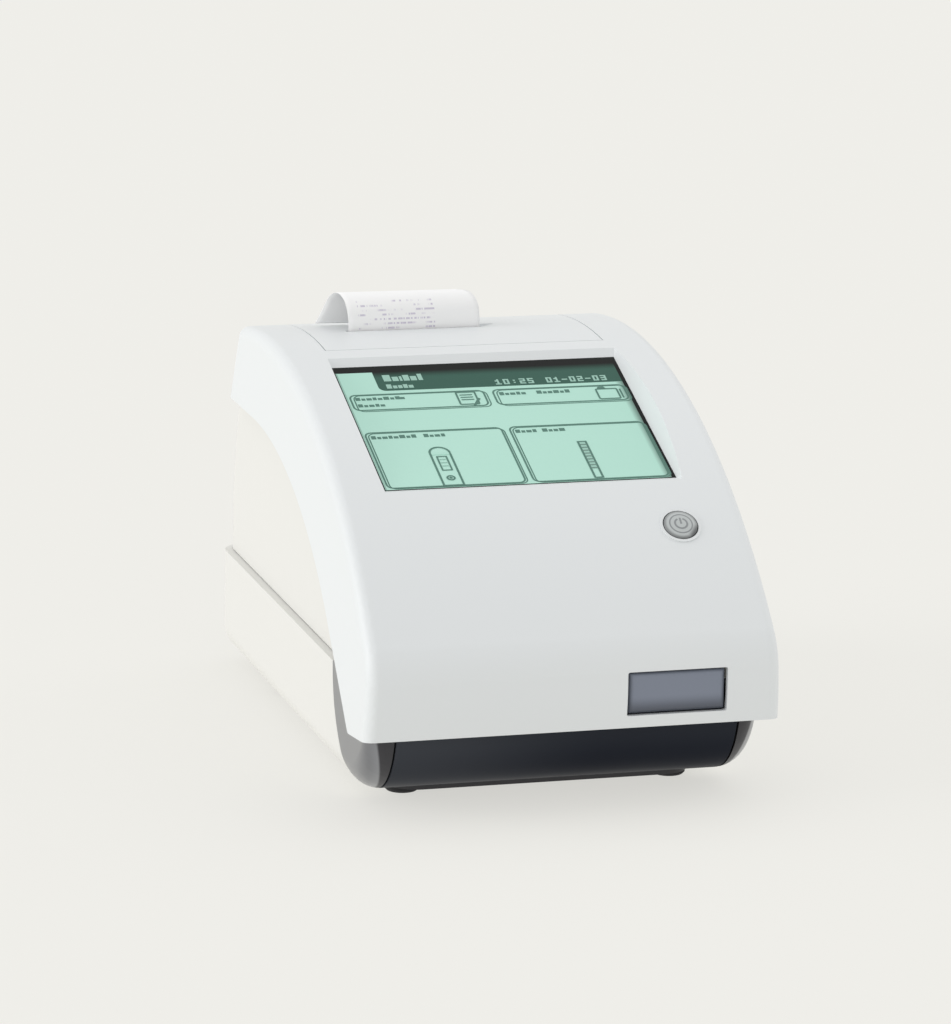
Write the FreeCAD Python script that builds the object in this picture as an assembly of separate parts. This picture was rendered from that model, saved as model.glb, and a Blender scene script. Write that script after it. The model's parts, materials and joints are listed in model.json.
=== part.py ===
import FreeCAD, Part
import math
import os

# Desktop strip reader with a sliding sample table, in millimetres.
# X runs across the front, Y from the front to the rear, Z up from the table top.
# Every piece is drawn with Y = 0 at the front of the cover, and is moved to the
# middle of the depth when it is written out.

Vector = FreeCAD.Vector
X_AXIS = Vector(1, 0, 0)
Y_AXIS = Vector(0, 1, 0)
Z_AXIS = Vector(0, 0, 1)

# Overall
width = 171.0
depth = 272.0
height = 158.0
overrun = 6.0
fit_gap = 0.3
running_gap = 0.06

# Smallest sizes that count as a difference when edges are picked
hair = 0.001
pick = 0.05

# Top cover: an arched shell with a wing down each side
cover_wall = 2.5
cover_gap = 0.3
cover_bottom = 35.0
cover_front_z = 52.0
crown_setback = 76.5
crown_y = depth - crown_setback
cover_front_share = 0.4962
cover_front_radius = crown_y * cover_front_share
crease_radius = 25.0
brow_place_share = 0.1381
brow_y = crown_y * brow_place_share
brow_rise_share = 0.3868
brow_z = cover_front_z + (height - cover_front_z) * brow_rise_share
cover_back_setback = 34.0
wing_tip_setback = 21.0
wing_tip_drop = 36.5
wing_flat_length = 46.0
wing_knee_y = 62.0
wing_knee_z = 63.4
wing_foot_y = 28.0
wing_foot_drop = 3.0
wing_foot_z = cover_bottom - wing_foot_drop
wing_foot_radius = 3.0
side_draft_share = 0.033
cover_edge_radius = 5.0
wing_back_radius = 5.0
wing_tip_radius = 4.0

# The housing under the cover stands in from its sides
wing_offset = 8.0
body_half_width = width / 2 - wing_offset

# Screen and the sloped pocket that it lies in
screen_side = 16.5
screen_width = 2 * (body_half_width - screen_side)
screen_length_share = 0.4793
screen_length = crown_y * screen_length_share
screen_place_share = 0.5703
screen_y = crown_y * screen_place_share
screen_sink = 7.3
pocket_height = 10.0
pocket_side_run = 4.5
pocket_end_run = 19.0
pocket_wall = 2.0
glass_rim = 4.0
glass_thick = 1.8
lcd_rim = 5.5
lcd_thick = 7.0
lcd_lip = 3.0
lcd_lip_thick = 1.2
bracket_side = 4.0
bracket_width = 2 * (body_half_width - bracket_side)
bracket_rim = 5.15
bracket_length = screen_length + 2 * bracket_rim
bracket_thick = 1.2
bracket_window_rim = 12.0
bracket_radius = 4.0
screen_boss_radius = 3.0
screen_boss_side = 7.5
screen_boss_x = body_half_width - screen_boss_side
screen_boss_inset = 6.85
screen_boss_v = screen_length / 2 - screen_boss_inset
small_screw_radius = 1.25
small_screw_head_radius = 2.4
small_screw_head = 1.6

# Power button
button_side = 22.7
button_x = body_half_width - button_side
button_place_share = 0.2164
button_y = crown_y * button_place_share
button_radius = 7.0
button_gap = 0.35
button_proud = 1.6
button_crown = 0.7
button_edge = 0.8
button_skirt = 3.0
button_flange = 1.4
button_flange_thick = 1.2
button_stem_radius = 1.8
button_stem = 2.4
button_travel = 1.2
button_rim_wall = 1.1
button_rim_proud = 0.5
key_board_width = 26.0
key_board_length = 18.0
key_board_thick = 1.2
key_leg_radius = 1.6
switch_side = 6.0
switch_height = 2.0

# Printer cover: the lid over the paper, hinged at the rear
lid_side = 17.5
lid_half_width = body_half_width - lid_side
lid_front_share = 0.8644
lid_front_y = crown_y * lid_front_share
lid_gap = 0.45
lid_ledge = 3.0
lid_rib = 2.0
lid_rib_drop = 2.6
lid_rib_inset = 4.5
slot_length = 59.5
slot_width = 2.6
slot_setback = 71.0
notch_length = 8.0
notch_depth = 1.4
notch_width = 7.0
hinge_setback = 36.0
hinge_knuckle_radius = 2.8
hinge_knuckle_bite = 0.5
hinge_pin_radius = 1.1
hinge_knuckle_length = 12.0
hinge_knuckle_inset = 16.0
hinge_knuckle_x = lid_half_width - hinge_knuckle_inset
hinge_lug = 4.0
hinge_well_start = 3.0
hinge_pin_head = 0.6

# Paper, its roll and the printer under the lid
paper_side = 64.0
paper_x = paper_side - body_half_width
paper_width = 57.5
paper_thick = 0.4
paper_rise = 15.0
paper_curl_radius = 7.0
paper_tail = 4.5
paper_tail_lean = 1.0
paper_root = 4.0
roll_radius = 19.0
roll_core_radius = 6.0
roll_setback = 50.0
roll_drop = 37.8
roll_z = height - roll_drop
spindle_radius = 5.94
spindle_end_radius = 3.0
spindle_end = 3.0
cradle_gap = 1.2
cradle_wall = 2.0
cradle_end_gap = 0.8
cradle_lip = 6.0
platen_radius = 5.0
platen_setback = 65.7
platen_drop = 17.0
platen_z = height - platen_drop
platen_shaft_radius = 2.0
frame_plate = 2.0
frame_plate_gap = 1.2
frame_depth = 17.0
frame_bar = 3.0
frame_foot_depth = 13.0
print_head_thick = 4.0
print_head_height = 13.0
head_fin_thick = 1.0
head_fin_pitch = 2.6
head_fin_depth = 3.0
paper_path_gap = 0.7
feed_module = 0.6
platen_teeth = 24
feed_teeth = 14
feed_gear_width = 3.0
feed_gear_gap = 0.6
feed_motor_radius = 5.5
feed_motor_length = 16.0
feed_shaft_radius = 1.0
feed_shaft_reach = 3.0
feed_angle = 270.0
gear_addendum_share = 0.8
gear_dedendum_share = 1.15
pressure_angle = 20.0
tooth_slack = 0.06

# Upper body: the pale housing under the cover
body_wall = 2.5
body_front_y = 9.0
body_front_wall = 2.5
body_bottom = 50.9
body_rear_top_setback = 28.5
body_rear_mid_setback = 7.5
body_rear_mid_share = 0.5331
body_rear_mid_z = body_bottom + (height - body_bottom) * body_rear_mid_share
body_rear_low_share = 0.141
body_rear_low_z = body_bottom + (height - body_bottom) * body_rear_low_share
body_corner_radius = 11.6
deck_drop = 60.8
deck_z = height - deck_drop
deck_thick = 2.5
deck_length = 92.0
boss_radius = 4.0
boss_bore = 1.5
boss_height = 12.0
boss_side = 8.5
boss_x = body_half_width - boss_side
boss_front_y = 52.0
boss_rear_setback = 66.0
boss_web = 3.0

# Base: the pale hull, with a curved dark panel and a dark keel let into it
foot_height = 3.0
keel_drop = 2.2
hull_bottom = foot_height + keel_drop
foot_radius = 7.0
foot_chamfer = 0.8
foot_side = 21.5
foot_x = body_half_width - foot_side
foot_front_y = 54.0
foot_rear_setback = 26.0
base_top = 50.5
base_wall = 2.5
base_ledge = 3.5
base_half_width = body_half_width + base_ledge
base_floor = 2.5
hull_radius = 36.0
hull_rear_radius = 12.0
trim_side = 6.5
trim_half_width = body_half_width - trim_side
trim_gap = 0.8
trim_thick = 2.5
trim_top = 47.5
trim_reach = 29.0
keel_side = 7.0
keel_reach = 13.0
keel_radius = 12.0
keel_skin = 1.25
keel_gap = 0.35
cheek_reach = 61.0
cheek_low_reach = 38.0
cheek_low_rise = 6.0
cheek_run_share = 0.78
cheek_rise_share = 0.45
screw_head_radius = 2.8
screw_head = 2.2
screw_radius = 1.4
screw_reach = 9.0
screw_well_radius = 3.2
column_radius = 4.6
column_cap = 4.0

# Sample table: face plate, tray, insert and rack
table_side = 35.9
table_x = body_half_width - table_side
mouth_width = 41.3
mouth_height = 17.9
mouth_z = 48.95
mouth_gap = 0.6
mouth_radius = 0.8
face_recess = 1.1
face_thick = 3.2
face_edge_radius = 2.2
table_half_width = 19.3
table_height = 11.0
table_bottom = 41.3
table_floor = 2.2
table_wall = 2.2
table_setback = 100.0
table_length = depth - table_setback
bar_setback = 34.0
bar_start = table_length - bar_setback
insert_start = 8.0
insert_end_gap = 12.0
insert_length = bar_start - insert_start - insert_end_gap
insert_height = 8.2
insert_gap = 0.3
insert_pocket_width = 22.0
insert_pocket_start = 6.0
insert_channel_reach = 42.0
insert_pocket_length = insert_length - insert_pocket_start - insert_channel_reach
insert_pocket_floor = 1.6
strip_channel_width = 6.4
strip_channel_depth = 1.4
bar_length = 16.0
bar_thick = 1.2
bar_margin = 6.0
rack_height = 6.0
rack_back = 1.6
rack_start = 30.0
rack_rise = 2.2
table_module = 1.0
pinion_teeth = 16
pinion_y = 60.0
pinion_width = 5.0
pinion_bore = 1.5
pinion_hub = 3.0
pinion_hub_length = 2.0

# Guide that the table slides in, with its motor
guide_gap = 0.3
guide_wall = 2.5
guide_floor = 2.5
guide_start = 16.0
guide_rear_gap = 10.0
guide_post_radius = 3.5
guide_post_inset = 12.0
guide_side_height = 11.9
motor_radius = 12.0
motor_length = 24.0
motor_boss_radius = 4.0
motor_boss = 1.2
motor_ear_width = 7.0
motor_ear_thick = 1.0
motor_ear_reach = 17.0
ear_plate_half = 13.0
ear_plate_reach = 20.0

# Reading head over the table
head_start = 96.0
head_length = 46.0
head_height = 26.0
head_wall = 2.0
head_lift = 3.4
head_window_length = 22.0
head_window_width = 12.0
head_window_thick = 1.5
head_board_thick = 1.6

# Main circuit board and the sockets at the rear
board_side = 17.5
board_left = board_side - body_half_width
board_motor_gap = 4.1
board_front_y = 62.0
board_rear_gap = 0.4
board_thick = 1.6
board_lift = 8.0
standoff_radius = 3.0
standoff_inset = 5.0
chip_side = 18.0
chip_height = 2.4
chip_inset = 22.0
chip_y = 140.0
socket_inset = 0.3
power_side = 25.5
power_x = power_side - body_half_width
power_radius = 4.6
power_body = 10.6
power_height = 11.0
power_length = 13.0
power_bore = 3.1
power_pin_radius = 0.9
serial_side = 49.5
serial_x = serial_side - body_half_width
serial_width = 30.8
serial_height = 12.4
serial_length = 12.0
serial_shell_width = 17.0
serial_shell_height = 8.6
serial_shell_wall = 0.5
serial_shell_proud = 5.0
serial_draft = 1.1
serial_nut_x = 12.5
serial_nut_radius = 2.6
socket_gap = 0.4
serial_inset = 6.2

# Batteries behind a hinged door at the rear
cell_radius = 7.1
cell_length = 50.0
cell_tip_radius = 2.6
cell_tip = 0.8
cell_columns = 3
cell_rows = 2
cell_gap = 0.5
cell_side = 37.5
cell_x = body_half_width - cell_side
battery_wall = 1.6
contact_room = 2.4
battery_rear_room = 6.0
battery_start = depth - cell_length - battery_wall - contact_room - battery_rear_room
guide_length = battery_start - guide_rear_gap - guide_start
battery_lift = 10.0
battery_z = hull_bottom + battery_lift
contact_radius = 4.6
contact_wire = 0.5
door_rim = 2.2
door_gap = 0.4
door_hinge_radius = 2.2
door_pin_radius = 1.0
door_knuckle = 8.0
door_knuckle_x = 15.0
door_finger_width = 12.0
door_finger_depth = 1.1
door_finger_height = 4.0
door_lug = 3.0


# Outline of the cover, seen from the side


def at(y, z):
    return Vector(0, y, z)


def arc(start, end, centre):
    a = start.sub(centre)
    b = end.sub(centre)
    middle = a.add(b)
    middle.normalize()
    return Part.Arc(start, centre.add(middle.multiply(a.Length)), end).toShape()


def line(start, end):
    return Part.LineSegment(start, end).toShape()


def face_of(edges):
    return Part.Face(Part.Wire(Part.__sortEdges__(edges)))


def across(face, half_width):
    """Stretch a side outline from one side of the reader to the other."""
    solid = face.extrude(Vector(2 * half_width, 0, 0))
    solid.translate(Vector(-half_width, 0, 0))
    return solid


def circle_meet(first, first_radius, second, second_radius):
    """Front one of the two points where circles about these centres meet."""
    span = second.sub(first)
    length = span.Length
    along = (first_radius ** 2 - second_radius ** 2 + length ** 2) / (2 * length)
    off = math.sqrt(first_radius ** 2 - along ** 2)
    span.normalize()
    side = Vector(0, span.z, -span.y)
    return first.add(span.multiply(along)).add(side.multiply(off))


arch_rise = height - brow_z
arch_radius = ((crown_y - brow_y) ** 2 + arch_rise ** 2) / (2 * arch_rise)
arch_centre = at(crown_y, height - arch_radius)
front_centre = at(cover_front_radius, cover_front_z)
crease_centre = circle_meet(
    front_centre,
    cover_front_radius - crease_radius,
    arch_centre,
    arch_radius - crease_radius,
)


def arch_z(y, inset=0):
    radius = arch_radius - inset
    return arch_centre.z + math.sqrt(radius ** 2 - (y - arch_centre.y) ** 2)


def front_y(z, inset=0):
    radius = cover_front_radius - inset
    return front_centre.y - math.sqrt(radius ** 2 - (z - front_centre.z) ** 2)


def towards(centre, point, radius):
    ray = point.sub(centre)
    ray.normalize()
    return centre.add(ray.multiply(radius))


def front_to_crown(inset, bottom, back_y):
    """Edges up the front and over the arch, set in by a wall."""
    low = at(front_y(bottom, inset), bottom)
    onto_crease = towards(front_centre, crease_centre, cover_front_radius - inset)
    onto_arch = towards(arch_centre, crease_centre, arch_radius - inset)
    back = at(back_y, arch_z(back_y, inset))
    edges = [
        arc(low, onto_crease, front_centre),
        arc(onto_crease, onto_arch, crease_centre),
        arc(onto_arch, back, arch_centre),
    ]
    return low, back, edges


def draft_block(inset, bottom, top):
    """Everything between the two side faces, which lean in as they rise."""
    low = width / 2 - inset - side_draft_share * (bottom - wing_foot_z)
    high = width / 2 - inset - side_draft_share * (top - wing_foot_z)
    corners = [
        Vector(-low, 0, bottom),
        Vector(low, 0, bottom),
        Vector(high, 0, top),
        Vector(-high, 0, top),
    ]
    face = Part.Face(Part.makePolygon(corners + corners[:1]))
    block = face.extrude(Vector(0, depth + 2 * overrun, 0))
    block.translate(Vector(0, -overrun, 0))
    return block


def box(x_low, x_high, y_low, y_high, z_low, z_high):
    size = (x_high - x_low, y_high - y_low, z_high - z_low)
    return Part.makeBox(*size, Vector(x_low, y_low, z_low))


def rod(radius, length, start, direction):
    return Part.makeCylinder(radius, length, start, direction)


def fillet(shape, radius, wanted):
    edges = [edge for edge in shape.Edges if wanted(edge)]
    return shape.makeFillet(radius, edges) if edges else shape


def middle_of(edge):
    return edge.valueAt((edge.FirstParameter + edge.LastParameter) / 2)


def runs_along(edge, axis):
    if not isinstance(edge.Curve, Part.Line):
        return False
    return abs(edge.Curve.Direction.dot(axis)) > 1 - hair


def cover_blank():
    """The cover as a full block: side outline, leaning sides and round edges."""
    low, _, edges = front_to_crown(0, cover_bottom, depth - cover_back_setback)
    back = edges[-1].Vertexes
    back = max((vertex.Point for vertex in back), key=lambda point: point.y)
    tip = at(depth - wing_tip_setback, height - wing_tip_drop)
    flat = at(tip.y - wing_flat_length, tip.z)
    knee = at(wing_knee_y, wing_knee_z)
    reach = flat.y - knee.y
    drop = flat.z - knee.z
    under_centre = at(flat.y, flat.z - (reach ** 2 + drop ** 2) / (2 * drop))
    foot = at(wing_foot_y, wing_foot_z)
    edges += [
        line(back, tip),
        line(tip, flat),
        arc(flat, knee, under_centre),
        line(knee, foot),
        line(foot, low),
    ]
    blank = across(face_of(edges), width)
    blank = blank.common(draft_block(0, foot.z - overrun, height + overrun))

    def back_edge(edge):
        return runs_along(edge, X_AXIS) and middle_of(edge).sub(back).Length < pick

    blank = fillet(blank, wing_back_radius, back_edge)

    def foot_edge(edge):
        return runs_along(edge, X_AXIS) and middle_of(edge).sub(foot).Length < pick

    blank = fillet(blank, wing_foot_radius, foot_edge)

    def arch_edge(edge):
        point = middle_of(edge)
        if abs(point.x) < width / 4:
            return False
        on_arch = abs(at(point.y, point.z).sub(arch_centre).Length - arch_radius)
        on_front = abs(at(point.y, point.z).sub(front_centre).Length - cover_front_radius)
        on_crease = abs(at(point.y, point.z).sub(crease_centre).Length - crease_radius)
        fore = point.y < crease_centre.y
        return on_arch < pick or (fore and min(on_front, on_crease) < pick)

    blank = fillet(blank, cover_edge_radius, arch_edge)
    return blank.cut(wing_tip_waste(back, tip))


def wing_tip_waste(back, tip):
    """What a round on the lower rear corner of the wings takes away."""
    lean = math.atan2(tip.y - back.y, back.z - tip.z)
    reach = wing_tip_radius * math.tan(math.pi / 4 + lean / 2)
    below = tip.sub(at(reach, 0))
    centre = below.add(at(0, wing_tip_radius))
    beside = towards(centre, centre.add(at(math.cos(lean), math.sin(lean))), wing_tip_radius)
    outside = [tip.add(at(overrun, 0)), tip.add(at(0, -overrun))]
    waste = face_of([
        arc(below, beside, centre),
        line(beside, outside[0]),
        line(outside[0], outside[1]),
        line(outside[1], below),
    ])
    return across(waste, width)


def under_cover(inset, side_inset):
    """The space below the cover, as a block set in from its outside."""
    bottom = wing_foot_z - overrun
    end_y = depth - wing_tip_setback + overrun
    low, back, edges = front_to_crown(inset, bottom, end_y)
    foot = at(end_y, bottom)
    edges += [line(back, foot), line(foot, low)]
    block = across(face_of(edges), width)
    return block.common(draft_block(side_inset, bottom, height + overrun))


# Frame of the screen: local Z points out of the glass, local Y up its slope

screen_angle = math.asin((arch_centre.y - screen_y) / (arch_radius - screen_sink))
screen_normal = Vector(0, -math.sin(screen_angle), math.cos(screen_angle))
screen_centre = arch_centre.add(Vector(screen_normal).multiply(arch_radius - screen_sink))
screen_place = FreeCAD.Placement(
    screen_centre, FreeCAD.Rotation(X_AXIS, math.degrees(screen_angle))
)


def on_screen(shape):
    shape.Placement = screen_place.multiply(shape.Placement)
    return shape


def rectangle(half_x, half_y, z):
    corners = [
        Vector(-half_x, -half_y, z),
        Vector(half_x, -half_y, z),
        Vector(half_x, half_y, z),
        Vector(-half_x, half_y, z),
    ]
    return Part.makePolygon(corners + corners[:1])


def pocket(grow):
    """The sloping sides of the screen's pocket, as a solid plug."""
    half_x = screen_width / 2 + grow
    half_y = screen_length / 2 + grow
    wires = [
        rectangle(half_x, half_y, 0),
        rectangle(half_x + pocket_side_run, half_y + pocket_end_run, pocket_height),
    ]
    return on_screen(Part.makeLoft(wires, True, True))


def slab(half_x, half_y, z_low, z_high):
    """A flat plate in the frame of the screen."""
    return box(-half_x, half_x, -half_y, half_y, z_low, z_high)


def screen_boss_places():
    return [(x, v) for x in (-screen_boss_x, screen_boss_x)
            for v in (-screen_boss_v, screen_boss_v)]


bracket_z = -glass_thick - lcd_thick


def screen_bosses():
    bosses = []
    for x, v in screen_boss_places():
        bosses.append(rod(screen_boss_radius, screen_sink - bracket_z, Vector(x, v, bracket_z), Z_AXIS))
    return on_screen(bosses[0].multiFuse(bosses[1:]))


# Frame of the power button: local Z points out of the arch

button_angle = math.asin((arch_centre.y - button_y) / arch_radius)
button_normal = Vector(0, -math.sin(button_angle), math.cos(button_angle))
button_place = FreeCAD.Placement(
    arch_centre.add(Vector(button_normal).multiply(arch_radius)).add(Vector(button_x, 0, 0)),
    FreeCAD.Rotation(X_AXIS, math.degrees(button_angle)),
)


def on_button(shape):
    shape.Placement = button_place.multiply(shape.Placement)
    return shape


button_hole_radius = button_radius + button_gap
key_board_z = -button_skirt - button_stem - button_travel - fit_gap - switch_height


def button_rim():
    radius = button_hole_radius + button_rim_wall
    rim = rod(radius, cover_wall + button_rim_proud, Vector(0, 0, -cover_wall), Z_AXIS)
    return on_button(rim)


def key_legs():
    legs = []
    for x in (-1, 1):
        for y in (-1, 1):
            place = Vector(
                x * (key_board_width / 2 - key_leg_radius),
                y * (key_board_length / 2 - key_leg_radius),
                key_board_z,
            )
            legs.append(rod(key_leg_radius, -cover_wall / 2 - key_board_z, place, Z_AXIS))
    return [on_button(leg) for leg in legs]


# Lid opening

lid_back_y = depth - wing_tip_setback + overrun


def lid_block(grow):
    half = lid_half_width + grow
    return box(-half, half, lid_front_y - grow, lid_back_y, deck_z, height + overrun)


def mouth_box(gap, start_y, end_y):
    half_w = mouth_width / 2 - gap
    half_h = mouth_height / 2 - gap
    block = box(
        table_x - half_w, table_x + half_w, start_y, end_y, mouth_z - half_h, mouth_z + half_h
    )
    return fillet(block, mouth_radius, lambda edge: runs_along(edge, Y_AXIS))


def top_cover(blank):
    shell = blank.cut(under_cover(cover_wall, cover_wall))
    tub = pocket(pocket_wall).common(under_cover(cover_wall / 2, cover_wall))
    shell = shell.fuse(tub)
    bosses = screen_bosses().common(under_cover(cover_wall / 2, cover_wall))
    shell = shell.fuse(bosses)
    shell = shell.fuse(button_rim())
    shell = shell.multiFuse(key_legs())
    shell = shell.cut(pocket(0)).cut(glass_seat())
    shell = shell.cut(on_button(rod(
        button_hole_radius, 4 * overrun, Vector(0, 0, -2 * overrun), Z_AXIS
    )))
    shell = shell.cut(on_button(rod(
        button_hole_radius + button_flange, overrun, Vector(0, 0, -overrun - cover_wall), Z_AXIS
    )))
    shell = shell.cut(lid_block(lid_gap))
    shell = shell.cut(mouth_box(0, -overrun, overrun))
    return shell.removeSplitter()


def glass_seat():
    half_x = screen_width / 2 + glass_rim + fit_gap
    half_y = screen_length / 2 + glass_rim + fit_gap
    return on_screen(slab(half_x, half_y, bracket_z, 0))


def touch_panel():
    half_x = screen_width / 2 + glass_rim
    half_y = screen_length / 2 + glass_rim
    return on_screen(slab(half_x, half_y, -glass_thick, 0))


def lcd_module():
    half_x = screen_width / 2 + lcd_rim
    half_y = screen_length / 2 + lcd_rim
    module = slab(half_x, half_y, bracket_z, -glass_thick)
    lip = slab(half_x - lcd_lip, half_y - lcd_lip, -glass_thick - lcd_lip_thick, -glass_thick)
    rear = slab(half_x, half_y, bracket_z, -glass_thick - lcd_lip_thick)
    return on_screen(module.common(lip.fuse(rear)))


def display_bracket():
    plate = slab(bracket_width / 2, bracket_length / 2, bracket_z - bracket_thick, bracket_z)
    plate = fillet(plate, bracket_radius, lambda edge: runs_along(edge, Z_AXIS))
    window = slab(
        screen_width / 2 - bracket_window_rim,
        screen_length / 2 - bracket_window_rim,
        bracket_z - overrun,
        bracket_z + overrun,
    )
    plate = plate.cut(window)
    for x, v in screen_boss_places():
        start = Vector(x, v, bracket_z - overrun)
        plate = plate.cut(rod(small_screw_radius + running_gap, 2 * overrun, start, Z_AXIS))
    return on_screen(plate)


def display_screws():
    screws = []
    for x, v in screen_boss_places():
        head_z = bracket_z - bracket_thick
        head = rod(
            small_screw_head_radius, small_screw_head, Vector(x, v, head_z - small_screw_head),
            Z_AXIS
        )
        shank = rod(small_screw_radius, bracket_thick, Vector(x, v, head_z), Z_AXIS)
        screws.append(on_screen(head.fuse(shank)))
    return Part.makeCompound(screws)


def power_button():
    sphere_radius = (button_radius ** 2 + button_crown ** 2) / (2 * button_crown)
    cap = rod(button_radius, button_proud + button_skirt, Vector(0, 0, -button_skirt), Z_AXIS)
    dome = Part.makeSphere(sphere_radius, Vector(0, 0, button_proud - sphere_radius))
    cap = cap.common(dome)
    cap = fillet(cap, button_edge, lambda edge: edge.CenterOfMass.z > 0 and edge.Length > button_radius)
    flange = rod(
        button_radius + button_flange - button_gap,
        button_flange_thick,
        Vector(0, 0, -cover_wall - fit_gap - button_flange_thick),
        Z_AXIS,
    )
    stem = rod(button_stem_radius, button_stem, Vector(0, 0, -button_skirt - button_stem), Z_AXIS)
    return on_button(cap.fuse(flange).fuse(stem).removeSplitter())


def key_board():
    board = box(
        -key_board_width / 2,
        key_board_width / 2,
        -key_board_length / 2,
        key_board_length / 2,
        key_board_z - key_board_thick,
        key_board_z,
    )
    half = switch_side / 2
    switch = box(-half, half, -half, half, key_board_z, key_board_z + switch_height)
    return on_button(board.fuse(switch))


# Lid, its hinge and the paper

hinge_y = depth - hinge_setback
hinge_z = arch_z(hinge_y, cover_wall + hinge_knuckle_radius - hinge_knuckle_bite)
hinge_lug_radius = hinge_knuckle_radius - hinge_knuckle_bite - fit_gap
lid_end_y = depth - cover_back_setback
hinge_well_radius = math.hypot(lid_end_y - hinge_y, arch_z(lid_end_y) - hinge_z) + lid_gap
slot_y = depth - slot_setback
knuckle_centres = (-hinge_knuckle_x, hinge_knuckle_x)


def printer_cover(blank):
    lid = blank.cut(under_cover(cover_wall, cover_wall)).common(lid_block(0))
    for side in (-1, 1):
        edge_x = side * (lid_half_width - lid_rib_inset)
        rib = box(
            min(edge_x, edge_x - side * lid_rib),
            max(edge_x, edge_x - side * lid_rib),
            lid_front_y + lid_rib_inset,
            hinge_y - hinge_well_radius,
            deck_z,
            height,
        )
        band = under_cover(cover_wall / 2, cover_wall).cut(under_cover(
            cover_wall + lid_rib_drop, cover_wall
        ))
        lid = lid.fuse(rib.common(band))
    for x in knuckle_centres:
        start = Vector(x - hinge_knuckle_length / 2, hinge_y, hinge_z)
        lid = lid.fuse(rod(hinge_knuckle_radius, hinge_knuckle_length, start, X_AXIS))
    lid = lid.cut(rod(
        hinge_pin_radius + running_gap, width, Vector(-width / 2, hinge_y, hinge_z), X_AXIS
    ))
    slot = box(
        paper_x - slot_length / 2,
        paper_x + slot_length / 2,
        slot_y - slot_width / 2,
        slot_y + slot_width / 2,
        deck_z,
        height + overrun,
    )
    right = paper_x + slot_length / 2
    top = arch_z(slot_y)
    corners = [
        Vector(right, slot_y - slot_width / 2, top - notch_depth),
        Vector(right, slot_y - slot_width / 2, top + overrun),
        Vector(
            right + notch_length * (1 + overrun / notch_depth), slot_y - slot_width / 2,
            top + overrun
        ),
    ]
    wedge = Part.Face(Part.makePolygon(corners + corners[:1])).extrude(Vector(0, notch_width, 0))
    return lid.cut(slot).cut(wedge).removeSplitter()


def hinge_span(x):
    """Inner and outer end of one hinge, across its two lugs."""
    half = hinge_knuckle_length / 2 + fit_gap
    return x - half, x + half


def hinge_lugs():
    lugs = []
    for x in knuckle_centres:
        low, high = hinge_span(x)
        for start in (low - hinge_lug, high):
            barrel = rod(hinge_lug_radius, hinge_lug, Vector(start, hinge_y, hinge_z), X_AXIS)
            foot = box(
                start,
                start + hinge_lug,
                hinge_y - hinge_lug_radius,
                hinge_y,
                hinge_z - hinge_well_radius - body_wall,
                hinge_z,
            )
            lugs.append(barrel.fuse(foot))
    return lugs


def cover_hinge_pins():
    pins = []
    for x in knuckle_centres:
        low, high = hinge_span(x)
        start = Vector(low - hinge_lug - hinge_pin_head, hinge_y, hinge_z)
        length = high - low + 2 * hinge_lug + 2 * hinge_pin_head
        pins.append(rod(hinge_pin_radius, length, start, X_AXIS))
    return Part.makeCompound(pins)


def paper_strip():
    """A printed strip: up through the slot, over in a curl, and down behind it."""
    top = arch_z(slot_y)
    low = at(slot_y, top - paper_root)
    bend = at(slot_y, top + paper_rise - paper_curl_radius)
    centre = at(slot_y + paper_curl_radius, bend.z)
    over = at(slot_y + 2 * paper_curl_radius, bend.z)
    tail = at(over.y + paper_tail_lean, bend.z - paper_tail)
    thick = Vector(0, paper_thick, 0)
    inner = paper_curl_radius - paper_thick
    crest = Part.Arc(bend, at(centre.y, centre.z + paper_curl_radius), over).toShape()
    inside = Part.Arc(bend.add(thick), at(centre.y, centre.z + inner), over.sub(thick)).toShape()
    edges = [
        line(low, bend),
        crest,
        line(over, tail),
        line(tail, tail.sub(thick)),
        line(tail.sub(thick), over.sub(thick)),
        inside,
        line(bend.add(thick), low.add(thick)),
        line(low.add(thick), low),
    ]
    strip = across(face_of(edges), paper_width / 2)
    strip.translate(Vector(paper_x, 0, 0))
    return strip


roll_y = depth - roll_setback
roll_start = paper_x - paper_width / 2
cradle_half = paper_width / 2 + cradle_end_gap


def paper_roll():
    place = Vector(roll_start, roll_y, roll_z)
    roll = rod(roll_radius, paper_width, place, X_AXIS)
    return roll.cut(rod(roll_core_radius, paper_width, place, X_AXIS))


def roll_spindle():
    half = cradle_half - fit_gap
    core = rod(spindle_radius, 2 * half, Vector(paper_x - half, roll_y, roll_z), X_AXIS)
    reach = half + spindle_end
    ends = rod(spindle_end_radius, 2 * reach, Vector(paper_x - reach, roll_y, roll_z), X_AXIS)
    return core.fuse(ends).removeSplitter()


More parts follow.
